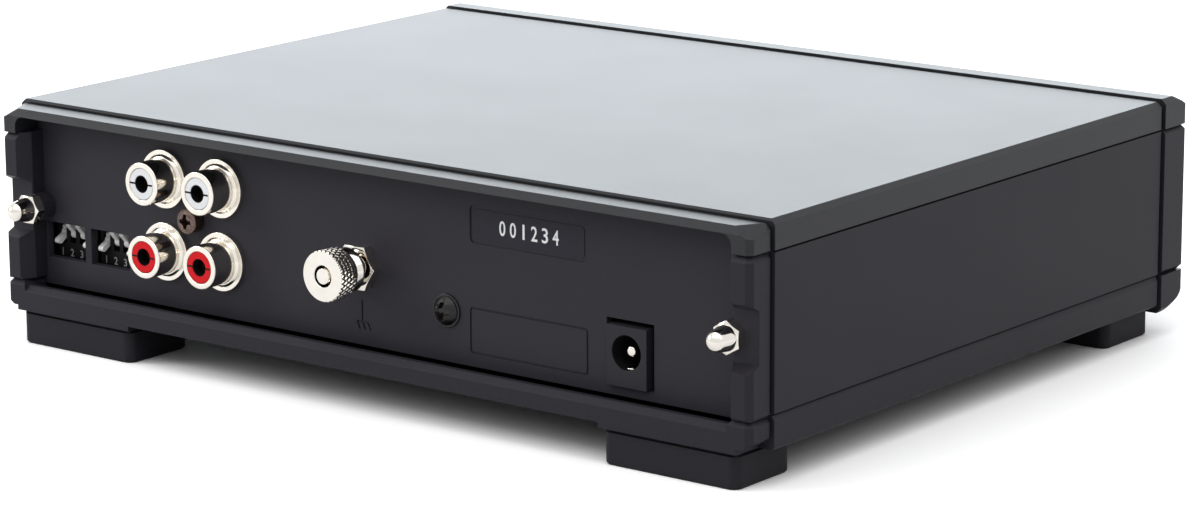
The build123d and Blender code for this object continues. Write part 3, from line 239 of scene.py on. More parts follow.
def turned(name: str, centre: Pair, grids: np.ndarray, closed: bool = False) -> Piece:
    """Surface round an axis along Y, whose radius may change with the angle.

    A point is (x + R cos a, D, z + R sin a). R and D are functions of the row and the angle a.

    Args:
        name: The new object's name.
        centre: The axis's (x, z).
        grids: R and D, with one row per profile point and one column per angle.
        closed: Whether the profile is a closed loop.

    Returns:
        The new object.
    """
    radius, depth = grids
    angle = ring_angles(radius.shape[1])[None, :]
    x, z = centre[0] + radius * np.cos(angle), centre[1] + radius * np.sin(angle)
    points = np.stack([x, depth, z], axis=-1).reshape(-1, 3)
    return make_object(name, points, grid_faces(*radius.shape, closed))


def lathe(
    name: str, centre: Pair, profile: Sequence[Pair] | np.ndarray, closed: bool = False
) -> Piece:
    """Surface of revolution about an axis along Y: R and D depend on the profile's row alone."""
    return turned(name, centre, round_rows(profile), closed)


def ring(name: str, centre: Pair, radii: Pair, depths: Pair) -> Piece:
    """Ring of rectangular section about an axis along Y.

    Args:
        name: The new object's name.
        centre: The axis's (x, z).
        radii: Inner and outer radius.
        depths: Depth of its back and of its front.

    Returns:
        The new object.
    """
    (inner, outer), (back, front) = radii, depths
    section = [(inner, back), (outer, back), (outer, front), (inner, front)]
    return lathe(name, centre, section, closed=True)


@dataclass(frozen=True)
class HexSides:
    """Outside of a hexagonal nut whose front corners are turned down to a cone."""

    flats: float
    crown: float
    slope: float
    least: float = 0.02

    def rows(self, turn: float, start: float, end: float) -> np.ndarray:
        """Works out the nut's outside.

        The hexagon's radius is half its width across flats over the cosine of the angle to the
        nearest flat's middle. The side runs from the start to the depth end - (R - crown) * slope,
        where it meets the cone, and the cone runs on to the crown's circle on the front face.

        Args:
            turn: Angle of one flat's middle, in degrees.
            start: Depth of the back face.
            end: Depth of the front face.

        Returns:
            Grids of radius and depth, with three rows each: back edge, side's end, crown.
        """
        angle = ring_angles() - math.radians(turn)
        outline = self.flats / 2 / np.cos((angle + np.pi / 6) % (np.pi / 3) - np.pi / 6)
        side_end = end - np.clip(outline - self.crown, self.least, None) * self.slope
        crown = round_rows([(min(self.crown, self.flats / 2), end)])
        back = np.full(RING_STEPS, start)
        return stacked(np.stack([[outline, outline], [back, side_end]]), crown)


@dataclass(frozen=True)
class Lettering:
    """Thin raised characters that read from behind the object."""

    width: float
    height: float
    pitch: float = 0.0
    relief: float = 0.004
    weight: float = 0.012
    curve_steps: int = 4

    def glyph(self, name: str, character: str) -> bpy.types.Mesh:
        """Turns one character into a mesh in the font's own units.

        Args:
            name: The mesh's name.
            character: The character.

        Returns:
            The mesh.
        """
        curve = bpy.data.curves.new(name, "FONT")
        curve.body = character
        curve.extrude = self.relief
        curve.offset = self.weight
        curve.resolution_u = self.curve_steps
        text = linked(curve.name, curve)
        bpy.context.view_layer.update()
        shown = text.evaluated_get(bpy.context.evaluated_depsgraph_get())
        mesh = bpy.data.meshes.new_from_object(shown)
        bpy.data.objects.remove(text)
        return mesh

    def write(self, name: str, words: str, place: Point) -> Piece:
        """Writes a line of characters.

        A character's own (x, y, z) lands at (place x - x, depth + z, height + y). It fills its
        height, and its width where that doesn't stretch it.

        Args:
            name: The new object's name.
            words: The characters.
            place: Lower left corner of the first character, as seen from behind, in millimetres.

        Returns:
            One mesh object with all the characters.
        """
        made = []
        for index, character in enumerate(words):
            mesh = self.glyph(f"{name}_{index}", character)
            flat = np.zeros(len(mesh.vertices) * 3)
            mesh.vertices.foreach_get("co", flat)
            flat = flat.reshape(-1, 3)
            low, high = flat.min(0), flat.max(0)
            tall = self.height / (high[1] - low[1])
            wide = min(self.width / (high[0] - low[0]), tall)
            centred = (flat[:, 0] - (low[0] + high[0]) / 2) * wide
            across = centred + self.width / 2 + index * self.pitch
            upward = (flat[:, 1] - low[1]) * tall
            outward = (flat[:, 2] - low[2]) * self.height
            spots = [place[0] - across, place[1] + outward, place[2] + upward]
            mesh.vertices.foreach_set("co", (np.stack(spots, axis=-1) * MM).ravel())
            made.append(linked(f"{name}_{index}", mesh))
        return joined(name, made)


# ------------------------------------------------------------------ finishes


class Grain(Enum):
    """Surface relief of a finish, by the number of finer layers in its noise."""

    POWDER = 3.0
    MOULDED = 1.0
    POLISHED = 0.0


class NodeGraph:
    """The node tree of a material or world, emptied at the start."""

    def __init__(self, owner: bpy.types.Material | bpy.types.World) -> None:
        """Empties the tree.

        Args:
            owner: The material or world.
        """
        owner.use_nodes = True
        self.tree = owner.node_tree
        self.tree.nodes.clear()

    def feed(self, node: bpy.types.Node, inputs: Inputs) -> None:
        """Fills a node's inputs.

        Args:
            node: The node.
            inputs: For each input, the socket that it is linked to or its plain value.
        """
        for key, value in inputs.items():
            if isinstance(value, Socket):
                self.tree.links.new(value, node.inputs[key])
            else:
                node.inputs[key].default_value = value

    def node(self, kind: str, inputs: Inputs | None = None, **settings: object) -> bpy.types.Node:
        """Adds a node.

        Args:
            kind: Its type, without the words that all shader nodes start with.
            inputs: What its inputs are fed with.
            settings: Its properties.

        Returns:
            The node.
        """
        made = self.tree.nodes.new(f"ShaderNode{kind}")
        for key, value in settings.items():
            setattr(made, key, value)
        self.feed(made, inputs or {})
        return made

    def spread(self, value: Socket, ends: Pair, to: Pair) -> Socket:
        """Maps a value from one range to another.

        Args:
            value: The value.
            ends: The range it comes from.
            to: The range it goes to.

        Returns:
            The mapped value.
        """
        limits = zip(("From Min", "From Max", "To Min", "To Max"), (*ends, *to))
        return self.node("MapRange", {"Value": value, **dict(limits)}).outputs["Result"]

    def any_ray(self, *kinds: str) -> Socket:
        """Tells rays of some kinds from others.

        Args:
            kinds: Outputs of the light path.

        Returns:
            1 for rays of any of these kinds, and 0 for others.
        """
        rays = self.node("LightPath").outputs
        share = rays[kinds[0]]
        for kind in kinds[1:]:
            share = self.node("Math", {0: share, 1: rays[kind]}, operation="MAXIMUM").outputs[0]
        return share

    def mixed(self, share: Socket, first: bpy.types.Node, second: bpy.types.Node) -> bpy.types.Node:
        """Mixes two shaders: a share of 0 gives the first and 1 the second."""
        return self.node("MixShader", {"Fac": share, 1: first.outputs[0], 2: second.outputs[0]})


class Shader(NodeGraph):
    """A material with its surface shader in place."""

    bevel_samples = 4

    def __init__(self, name: str) -> None:
        """Starts the material.

        Args:
            name: The material's name.
        """
        self.material = bpy.data.materials.new(name)
        super().__init__(self.material)
        self.surface = self.node("BsdfPrincipled")
        self.node("OutputMaterial", {"Surface": self.surface.outputs["BSDF"]})
        self.place = self.node("TexCoord").outputs["Object"]

    def noise(self, grain: float, detail: float, rough: float) -> Socket:
        """Adds noise with grains of a given size.

        Args:
            grain: Size of one grain in millimetres.
            detail: Number of finer layers.
            rough: Weight of the finer layers.

        Returns:
            The noise's value.
        """
        inputs = {"Scale": 1 / (grain * MM), "Detail": detail, "Roughness": rough}
        return self.node("TexNoise", {**inputs, "Vector": self.place}).outputs["Fac"]

    def blend(self, share: Socket, first: Colour, second: Colour) -> Socket:
        """Mixes two colours: a share of 0 gives the first and 1 the second."""
        inputs = {"A": (*first, 1), "B": (*second, 1), "Factor": share}
        return self.node("Mix", inputs, data_type="RGBA").outputs["Result"]

    def relief(self, height: Socket, depth: float, edge: float) -> Socket:
        """Works out normals with a fine relief and softened edges.

        Args:
            height: Relief, from 0 to 1.
            depth: Height of the relief in millimetres.
            edge: Radius of the softened edges in millimetres; 0 leaves them sharp.

        Returns:
            The normals.
        """
        inputs = {"Strength": 1.0, "Distance": depth * MM, "Height": height}
        if edge > 0:
            bevel = self.node("Bevel", {"Radius": edge * MM}, samples=self.bevel_samples)
            inputs["Normal"] = bevel.outputs["Normal"]
        return self.node("Bump", inputs).outputs["Normal"]


@dataclass(frozen=True)
class Finish:
    """A finish whose colour and roughness vary a little, with a fine relief.

    The colour follows the relief's grain, and the roughness follows broad clouds.
    """

    name: str
    colour: Colour
    second: Colour
    roughness: Pair
    grain: Grain
    grain_size: float = 0.4
    relief: float = 0.02
    edge: float = 0.0
    metallic: float = 0.0
    specular: float = 0.5
    coat: float = 0.0
    coat_roughness: float = 0.1

    def make(self) -> bpy.types.Material:
        """Builds the material.

        Returns:
            The new material.
        """
        noise_span = (0.3, 0.7)
        shader = Shader(self.name)
        fine = shader.noise(self.grain_size, self.grain.value, rough=0.6)
        clouds = shader.noise(grain=18.0, detail=3.0, rough=0.5)
        share = shader.spread(fine, noise_span, (0.0, 1.0))
        inputs = {
            "Base Color": shader.blend(share, self.colour, self.second),
            "Roughness": shader.spread(clouds, noise_span, self.roughness),
            "Normal": shader.relief(fine, self.relief, self.edge),
            "Metallic": self.metallic,
            "Specular IOR Level": self.specular,
            "Coat Weight": self.coat,
            "Coat Roughness": self.coat_roughness,
        }
        shader.feed(shader.surface, inputs)
        return shader.material


COVER = Finish(
    "cover_powder", (0.0110, 0.0115, 0.0135), (0.0200, 0.0210, 0.0240), (0.375, 0.385),
    Grain.POWDER, grain_size=0.30, relief=0.012, edge=0.18, specular=0.30,
)
CASE_BLACK = Finish(
    "case_black", (0.0182, 0.0170, 0.0222), (0.0252, 0.0236, 0.0304), (0.42, 0.45), Grain.POWDER,
    grain_size=0.30, relief=0.009, edge=0.25, specular=0.15,
)
PANEL_BLACK = Finish(
    "panel_satin", (0.0262, 0.0246, 0.0314), (0.0354, 0.0334, 0.0418), (0.45, 0.48), Grain.POWDER,
    grain_size=0.22, relief=0.006, edge=0.12, specular=0.13,
)
FOOT_BLACK = Finish(
    "foot_rubber", (0.0175, 0.0164, 0.0205), (0.0237, 0.0223, 0.0277), (0.52, 0.56), Grain.MOULDED,
    grain_size=0.3, relief=0.006, edge=0.4, specular=0.12,
)
NICKEL = Finish(
    "nickel_plate", (0.765, 0.73, 0.67), (0.80, 0.765, 0.71), (0.06, 0.075), Grain.POLISHED,
    grain_size=1.5, relief=0.0003, metallic=1.0,
)
SHELL = Finish(
    "socket_plate", (0.80, 0.757, 0.685), (0.82, 0.78, 0.71), (0.115, 0.135), Grain.POLISHED,
    grain_size=1.5, relief=0.0003, metallic=1.0,
)
BRASS = Finish(
    "contact_brass", (0.55, 0.42, 0.18), (0.62, 0.48, 0.22), (0.2, 0.3), Grain.MOULDED,
    grain_size=0.3, relief=0.003, metallic=1.0,
)
WHITE = Finish(
    "white_plastic", (0.83, 0.845, 0.87), (0.87, 0.885, 0.90), (0.30, 0.38), Grain.MOULDED,
    grain_size=0.5, relief=0.003, edge=0.08, specular=0.4,
)
LEVER_WHITE = Finish(
    "lever_white", (0.92, 0.92, 0.91), (0.94, 0.94, 0.93), (0.28, 0.34), Grain.MOULDED,
    grain_size=0.5, relief=0.003, edge=0.06, specular=0.5,
)
RED = Finish(
    "red_plastic", (0.66, 0.010, 0.015), (0.74, 0.014, 0.020), (0.38, 0.45), Grain.MOULDED,
    grain_size=0.5, relief=0.003, edge=0.06, specular=0.12,
)
JACK_BLACK = Finish(
    "jack_plastic", (0.0225, 0.0214, 0.0262), (0.0295, 0.0282, 0.0342), (0.42, 0.46), Grain.MOULDED,
    grain_size=0.25, relief=0.004, edge=0.15, specular=0.16,
)
SWITCH_BLACK = Finish(
    "switch_plastic", (0.0035, 0.0035, 0.0042), (0.0055, 0.0055, 0.0064), (0.50, 0.58),
    Grain.MOULDED, grain_size=0.3, relief=0.005, edge=0.08, specular=0.15,
)
STEEL = Finish(
    "zinc_steel", (0.52, 0.52, 0.54), (0.60, 0.60, 0.61), (0.28, 0.40), Grain.MOULDED,
    grain_size=0.4, relief=0.004, metallic=1.0,
)
BRONZE = Finish(
    "dark_bronze", (0.085, 0.058, 0.050), (0.21, 0.150, 0.135), (0.30, 0.36), Grain.MOULDED,
    grain_size=0.35, relief=0.02, metallic=1.0,
)
GLOSS_BLACK = Finish(
    "screw_black", (0.006, 0.0048, 0.0055), (0.012, 0.0092, 0.0100), (0.19, 0.25), Grain.MOULDED,
    grain_size=0.30, relief=0.022, specular=0.34,
)
# This near-black finish paints shade: it colours sheets set inside the sockets' holes and slots and
# the power inlet's hole, where those hollows lie in shadow.
SHADE_PAINT = Finish(
    "painted_shade_throat", (0.004, 0.004, 0.0045), (0.006, 0.006, 0.0065), (0.55, 0.62), Grain.MOULDED,
    grain_size=0.3, relief=0.003, specular=0.2,
)
INK_WHITE = Finish(
    "white_ink", (0.92, 0.93, 0.94), (0.95, 0.955, 0.96), (0.4, 0.5), Grain.MOULDED,
    grain_size=0.2, relief=0.002,
)
INK_GREY = Finish(
    "grey_ink", (0.29, 0.29, 0.30), (0.37, 0.37, 0.38), (0.5, 0.6), Grain.MOULDED,
    grain_size=0.2, relief=0.002,
)
LABEL = Finish(
    "label_film", (0.0262, 0.0248, 0.0338), (0.0318, 0.0300, 0.0406), (0.36, 0.39), Grain.MOULDED,
    grain_size=0.2, relief=0.002, edge=0.05, specular=0.11,
)
BOARD_GREEN = Finish(
    "board_green", (0.02, 0.12, 0.06), (0.03, 0.16, 0.08), (0.3, 0.42), Grain.MOULDED,
    grain_size=0.6, relief=0.01,
)
SLEEVE_BLUE = Finish(
    "sleeve_blue", (0.02, 0.025, 0.09), (0.03, 0.035, 0.12), (0.22, 0.32), Grain.MOULDED,
    grain_size=0.8, relief=0.004,
)
FILM_RED = Finish(
    "film_resin", (0.42, 0.05, 0.03), (0.50, 0.07, 0.04), (0.3, 0.4), Grain.MOULDED,
    grain_size=0.5, relief=0.006,
)
LACQUER_BLUE = Finish(
    "lacquer_blue", (0.10, 0.26, 0.42), (0.13, 0.30, 0.47), (0.22, 0.32), Grain.MOULDED,
    grain_size=0.4, relief=0.004,
)
SINK_GREY = Finish(
    "sink_aluminium", (0.20, 0.20, 0.22), (0.26, 0.26, 0.28), (0.35, 0.45), Grain.MOULDED,
    grain_size=0.3, relief=0.006, metallic=0.8,
)
LENS = Finish(
    "indicator_clear", (0.62, 0.64, 0.62), (0.70, 0.72, 0.70), (0.1, 0.16), Grain.POLISHED,
    grain_size=0.5, relief=0.002, coat=0.8,
)


class Paintbox:
    """Makes each finish once and puts it on solids and new pieces."""

    def __init__(self, nodes: dict[str, Piece]) -> None:
        """Starts with no finish made.

        Args:
            nodes: The solids by name.
        """
        self.nodes = nodes
        self.made: dict[str, bpy.types.Material] = {}

    def paint(self, thing: Piece, finish: Finish) -> None:
        """Gives a piece a finish in every material slot.

        Args:
            thing: The piece.
            finish: The finish, whose material is made at its first use.
        """
        if finish.name not in self.made:
            self.made[finish.name] = finish.make()
        material = self.made[finish.name]
        if not thing.material_slots:
            thing.data.materials.append(material)
        for slot in thing.material_slots:
            slot.material = material

    def dress(self, name: str, finish: Finish) -> None:
        """Gives the solid of this name a finish."""
        self.paint(self.nodes[name], finish)
        LOG.info("%s wears %s", name, finish.name)

    def place(
        self, thing: Piece, finish: Finish, body: str, slot: str, nodes: tuple[str, ...] = ()
    ) -> None:
        """Finishes a new piece and lets it ride on a body.

        Args:
            thing: The piece.
            finish: Its finish.
            body: The body that carries it.
            slot: The record's material slot; not used.
            nodes: Solids that the piece stands for.
        """
        self.paint(thing, finish)
        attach(thing, body)
        if nodes:
            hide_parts(*nodes)
        LOG.info("%s rides on %s", thing.name, body)


# ------------------------------------------------------------------ sub-assemblies


@dataclass
class SubAssembly:
    """A group of pieces with its own sizes."""

    paints: Paintbox

    def build(self) -> None:
        """Makes the group's pieces and dresses them."""
        raise NotImplementedError


@dataclass
class DressedSolids(SubAssembly):
    """Solids whose shape is right as it is, and the finish of each."""

    finishes: tuple[tuple[Finish, tuple[str, ...]], ...] = (
        (COVER, ("top_cover",)),
        (CASE_BLACK, ("base_shell", "side_wall_left", "side_wall_right", "front_panel")),
        (PANEL_BLACK, ("rear_panel",)),
        (FOOT_BLACK, ("foot_front_left", "foot_front_right", "foot_rear_left", "foot_rear_right")),
        (JACK_BLACK, ("jack_housing", "panel_bracket", "socket_block")),
        (SWITCH_BLACK, ("switch_body_outer", "switch_body_inner")),
        (SWITCH_BLACK, ("amplifier_chips", "bridge_rectifier", "regulators")),
        (NICKEL, ("jack_spring", "solder_tag")),
        (BRASS, ("socket_contacts",)),
        (STEEL, ("tie_rods", "board_screws", "foot_screws")),
        (STEEL, ("switch_axle_outer", "switch_axle_inner", "solder_joints")),
        (BOARD_GREEN, ("circuit_board",)),
        (SLEEVE_BLUE, ("supply_capacitors", "small_capacitors")),
        (FILM_RED, ("film_capacitors",)),
        (LACQUER_BLUE, ("resistors",)),
        (SINK_GREY, ("heat_sink",)),
        (LENS, ("indicator_lens", "indicator_led")),
    )

    def build(self) -> None:
        """Dresses every listed solid."""
        for finish, names in self.finishes:
            for name in names:
                self.paints.dress(name, finish)


@dataclass
class DomeNuts(SubAssembly):
    """Two hexagonal nuts with a ball end, one at each side of the panel."""

    sides: HexSides = HexSides(flats=5.3, crown=2.42, slope=0.5)
    hex_length: float = 2.0
    neck_step: float = 0.02
    dome_radius: float = 2.0
    dome_rows: int = 14
    lean: float = math.radians(20)
    flat_turns: Pair = (30.0, 0.0)

    def nut(self, box: NodeBox, side: int, turn: float) -> Piece:
        """Builds one nut.

        A cone from the crown meets the ball where the ball leans as the cone does.

        Args:
            box: The box round both nuts.
            side: 1 for the nut towards +X and -1 for the other one.
            turn: Angle of one flat's middle, in degrees.

        Returns:
            The nut.
        """
        seat, tip = box.low[1], box.high[1]
        centre = (side * (box.high[0] - self.sides.flats / math.sqrt(3)), box.middle[2])
        hex_end = seat + self.hex_length
        neck = [(self.sides.crown - self.neck_step, hex_end)]
        angle = np.linspace(self.lean, np.pi / 2, self.dome_rows)
        ball = self.dome_radius * np.stack([np.cos(angle), np.sin(angle)], axis=-1)
        ball[:, 1] += tip - self.dome_radius
        sides = self.sides.rows(turn, seat, hex_end)
        grids = stacked(round_rows([(0, seat)]), sides, round_rows(neck), round_rows(ball))
        return turned("nut", centre, grids)

    def build(self) -> None:
        """Builds both nuts as one piece."""
        box = NodeBox.of("dome_nuts")
        nuts = [self.nut(box, side, turn) for side, turn in zip((1, -1), self.flat_turns)]
        pair = joined("polished_dome_nuts", nuts)
        self.paints.place(pair, NICKEL, CASE, "nickel", ("dome_nuts",))


@dataclass
class GroundPost(SubAssembly):
    """Hexagonal nut, stud, plain collar and knurled nut of the ground connection."""

    hex_sides: HexSides = HexSides(flats=8.05, crown=3.82, slope=0.42)
    hex_turn: float = 90.0
    collar_band: float = 0.25
    collar_neck: float = 3.3
    bore: float = 2.04
    bore_chamfer: float = 0.10
    knurl_count: int = 30
    knurl_depth: float = 0.36
    knurl_groove: float = 0.62
    knurl_lead: float = 1.73
    knurl_flat: float = 0.04
    knurl_front: float = 0.22
    knurl_back: float = 1.05
    knurl_rows: int = 64
    columns_per_tooth: int = 16
    bevel_radius: float = 4.15
    bevel_gap: float = 0.02
    shank: float = 1.92
    head_length: float = 2.2
    lead_in: Pair = (0.48, 1.2)

    def hex_nut(self, centre: Pair, box: NodeBox) -> Piece:
        """Builds the hexagonal nut with its turned corners and a bored middle.

        Args:
            centre: The post's (x, z).
            box: The box of the solid that it stands for.

        Returns:
            The nut.
        """
        start, end = box.low[1], box.high[1]
        bore = round_rows([(self.bore, end), (self.bore, start)])
        grids = stacked(self.hex_sides.rows(self.hex_turn, start, end), bore)
        return turned("ground_hex_nut_plated", centre, grids, closed=True)

    def stud(self, centre: Pair, box: NodeBox) -> Piece:
        """Builds the stud, with a flat head inside the case and a tapered free end.

        Args:
            centre: The post's (x, z).
            box: The box of the solid that it stands for.

        Returns:
            The stud.
        """
        back, end = box.low[1], box.high[1]
        seat = back + self.head_length
        narrowing, taper = self.lead_in
        rows = [
            (0, back, 0),
            (box.radius, back, 0.2),
            (box.radius, seat, 0.05),
            (self.shank, seat, 0),
            (self.shank, end - taper, 0),
            (self.shank - narrowing, end, 0.04),
            (0, end, 0),
        ]
        return lathe("ground_stud_plated", centre, rounded_profile(rows))

    def collar(self, centre: Pair, box: NodeBox) -> Piece:
        """Builds the plain collar: a short band, then a cone down to its neck.

        Args:
            centre: The post's (x, z).
            box: The box of the solid that it stands for.

        Returns:
            The collar.
        """
        start, end = box.low[1], box.high[1]
        rows = [
            (self.bore, start, 0),
            (box.radius, start, 0.06),
            (box.radius, start + self.collar_band, 0.12),
            (self.collar_neck, end, 0.1),
            (self.bore, end, 0),
        ]
        return lathe("clamp_collar_plated", centre, rounded_profile(rows), closed=True)

    def knurled_nut(self, centre: Pair, box: NodeBox) -> Piece:
        """Builds the knurled nut.

        The drum's radius is outer - depth * max(0, 1 - min(T(a), T(b)) / groove) in the knurled
        band, where T is a triangle wave, and a and b are the angle counted in teeth plus and minus
        the depth counted in leads. A smooth front face, a bevel at each end and a bored middle
        close the shape.

        Args:
            centre: The post's (x, z).
            box: The box of the solid that it stands for.

        Returns:
            The nut.
        """
        start, end, outer = box.low[1], box.high[1], box.radius
        columns = self.knurl_count * self.columns_per_tooth
        tooth = np.linspace(0, self.knurl_count, columns, endpoint=False)[None, :]
        reach = start + self.knurl_back, end - self.knurl_front / 2
        band = np.linspace(*reach, self.knurl_rows)[:, None]
        pitch = 2 * math.pi * outer / self.knurl_count
        climb = (band - start) / (pitch * self.knurl_lead)
        first, second = (np.abs((place % 1) * 2 - 1) for place in (tooth + climb, tooth - climb))
        cut = np.clip(1 - np.minimum(first, second) / self.knurl_groove, 0, None)
        radius = np.minimum(outer - self.knurl_depth * cut, outer - self.knurl_flat)
        back_face = [
            (self.bore, start),
            (self.bevel_radius, start),
            (outer - self.knurl_depth, start + self.knurl_back - self.bevel_gap),
        ]
        front_face = [
            (outer - self.knurl_front, end),
            (self.bore + self.bore_chamfer, end),
            (self.bore, end - self.bore_chamfer),
        ]
        knurl = np.stack(np.broadcast_arrays(radius, band))
        grids = stacked(round_rows(back_face, columns), knurl, round_rows(front_face, columns))
        return turned("thumb_nut_knurled", centre, grids, closed=True)

    def build(self) -> None:
        """Builds the whole post."""
        plan = (
            (self.hex_nut, "ground_hex_nut", CASE),
            (self.stud, "ground_stud", CASE),
            (self.collar, "clamp_collar", "clamp_collar"),
            (self.knurled_nut, "thumb_nut", "thumb_nut"),
        )
        centre = NodeBox.of("ground_hex_nut").axis
        for make, node, body in plan:
            self.paints.place(make(centre, NodeBox.of(node)), NICKEL, body, "nickel", (node,))


@dataclass
class PhonoSockets(SubAssembly):
    """Four plated shells: flange, grooved collar and a thick-walled barrel."""

    flange_thickness: float = 1.1
    flange_radius: float = 5.65
    flange_rounding: float = 0.16
    groove: Pair = (4.80, 4.94)
    groove_depth: float = 0.06
    collar_radius: float = 4.33
    collar_front: float = 1.5
    barrel_radius: float = 4.15
    rim_rounding: float = 0.32
    inner_radius: float = 3.07
    mouth_bevel: Pair = (0.1, 0.12)
    shank_radius: float = 4.0
    sleeve_radius: float = 2.98
    sleeve_edge: Pair = (0.05, 1.2)
    hole_radius: float = 1.7
    face_rings: Pair = (2.1, 2.9)
    half_turn_steps: int = 40
    slot_width: float = 0.38
    slot_depth: float = 1.0
    short_slot: float = 2.82
    bar_inset: float = 0.03
    bar_gap: float = 0.02
    bar_drop: float = 0.05
    throat_radii: Pair = (0.09, 0.01)
    throat_setback: float = 0.12
    contact_setback: float = 2.45

    def shell(self, name: str, box: NodeBox, face: float) -> Piece:
        """Builds one shell.

        Args:
            name: Its name.
            box: The box of the solid that it stands for.
            face: Depth of the panel's face.

        Returns:
            The shell.
        """
        back, front = box.low[1], box.high[1]
        flange, collar = face + self.flange_thickness, face + self.collar_front
        floor = flange - self.groove_depth
        inner_wall, outer_wall = self.groove
        widening, bevel = self.mouth_bevel
        rows = [
            (self.inner_radius, back, 0),
            (self.shank_radius, back, 0.1),
            (self.shank_radius, face, 0),
            (self.flange_radius, face, 0.05),
            (self.flange_radius, flange, self.flange_rounding),
            (outer_wall, flange, 0.04),
            (outer_wall, floor, 0.02),
            (inner_wall, floor, 0.02),
            (inner_wall, flange, 0.05),
            (self.collar_radius, collar, 0.12),
            (self.barrel_radius, collar, 0.04),
            (self.barrel_radius, front, self.rim_rounding),
            (self.inner_radius + widening, front, 0.05),
            (self.inner_radius, front - bevel, 0.03),
            (self.inner_radius, back, 0),
        ]
        return lathe(name, box.axis, rounded_profile(rows)[:-1], closed=True)

    def insulator(self, name: str, centre: Pair, box: NodeBox) -> Piece:
        """Builds one insulator: a bored sleeve with a slot at each side of its hole.

        The grid's rows go out from the hole and its columns go round. In a row of radius R, the
        slot's sides lie at the angles +-asin(w / R) from the level line, so the slot keeps its
        width 2w, and the columns between them lie deeper. The slot towards +X runs out through the
        rim, and the other one stops at a radius of its own.

        Args:
            name: Its name.
            centre: Its axis's (x, z).
            box: The box of the solid that it stands for.

        Returns:
            The insulator.
        """
        back, front = box.low[1], box.high[1]
        edge_drop, edge_length = self.sleeve_edge
        rows = np.array(
            [
                (self.hole_radius, back),
                (self.hole_radius, front),
                (self.face_rings[0], front),
                (self.short_slot, front),
                (self.short_slot, front),
                (self.face_rings[1], front),
                (self.sleeve_radius, front - edge_drop),
                (self.sleeve_radius, front - edge_length),
                (self.sleeve_radius, back),
            ]
        )
        short_rows, long_rows = slice(1, 4), slice(1, 7)
        radius, level = rows[:, :1], rows[:, 1:]
        lean = np.arcsin(self.slot_width / 2 / radius)
        half_turn = lean + (np.pi - 2 * lean) * np.linspace(0, 1, self.half_turn_steps)[None, :]
        slot = np.concatenate([-lean, lean], axis=1)
        angle = np.concatenate([half_turn, np.pi + slot, np.pi + half_turn, slot], axis=1)
        depth = np.broadcast_to(level, angle.shape).copy()
        short_columns = slice(self.half_turn_steps, self.half_turn_steps + 2)
        depth[short_rows, short_columns] = depth[long_rows, -2:] = front - self.slot_depth
        x, z = centre[0] + radius * np.cos(angle), centre[1] + radius * np.sin(angle)
        points = np.stack([x, depth, z], axis=-1).reshape(-1, 3)
        return make_object(name, points, grid_faces(*angle.shape, closed=True))

    def bar(self, centre: Pair, front: float, reach: float) -> Piece:
        """Builds the dark strip in one slot, which paints the shade inside it: a box whose corners
        pair each x, depth and z.

        Args:
            centre: The socket axis's (x, z).
            front: Depth of the insulator's face.
            reach: Distance from the axis to the strip's end, positive towards +X.

        Returns:
            The strip.
        """
        root = math.copysign(self.hole_radius - self.bar_inset, reach)
        x = centre[0] + np.sort([root, reach])
        depth = front - np.array([self.slot_depth - self.bar_gap, self.bar_drop])
        z = centre[1] + np.array([-0.5, 0.5]) * (self.slot_width - self.bar_gap)
        points = np.stack(np.meshgrid(x, depth, z, indexing="ij"), axis=-1).reshape(-1, 3)
        faces = [[0, 1, 3, 2], [4, 6, 7, 5], [0, 4, 5, 1], [2, 3, 7, 6], [0, 2, 6, 4], [1, 5, 7, 3]]
        return make_object("bar", points, np.array(faces))

    def lining(self, centre: Pair, front: float) -> list[Piece]:
        """Builds the painted shade of one hole, down to the centre contact, and of its two slots: a
        dark liner and two dark strips.

        Args:
            centre: The socket axis's (x, z).
            front: Depth of the insulator's face.

        Returns:
            The liner and the two strips.
        """
        # The liner tube and the strips are painted shade: dark sheets where the hole and the slots
        # lie in shadow.
        radii = tuple(self.hole_radius - inset for inset in self.throat_radii)
        depths = (front - self.contact_setback, front - self.throat_setback)
        return [
            ring("throat", centre, radii, depths),
            self.bar(centre, front, self.sleeve_radius - self.bar_gap),
            self.bar(centre, front, self.bar_gap - self.short_slot),
        ]

    def build(self) -> None:
        """Builds the four shells, their insulators and the dark linings that paint the shade in
        their holes and slots.
        """
        panel_face = NodeBox.of("rear_panel").high[1]
        linings = []
        for row, finish, slot in (("upper", WHITE, "white_plastic"), ("lower", RED, "red_plastic")):
            for column in ("outer", "inner"):
                node, sleeve = (f"socket_{part}_{row}_{column}" for part in ("shell", "insulator"))
                box, inside = NodeBox.of(node), NodeBox.of(sleeve)
                shell = self.shell(f"{node}_plated", box, panel_face)
                self.paints.place(shell, SHELL, CASE, "nickel", (node,))
                face = self.insulator(f"{sleeve}_moulded", box.axis, inside)
                self.paints.place(face, finish, CASE, slot, (sleeve,))
                linings += self.lining(box.axis, inside.high[1])
        self.paints.place(joined("painted_shade_throats", linings), SHADE_PAINT, CASE, "black_plastic")


@dataclass(frozen=True)
class ScrewHead:
    """Shape of one screw, with its rim and its recess's outline as shares of the head's radius.

    An endless ring height lets the ring rise as far as the dome's rim.
    """

    shank: float
    rise: float
    swell: float
    rim: float
    ring_height: float
    fall: float
    recess_length: float
    recess_width: float
    recess_star: float
    recess_depth: float


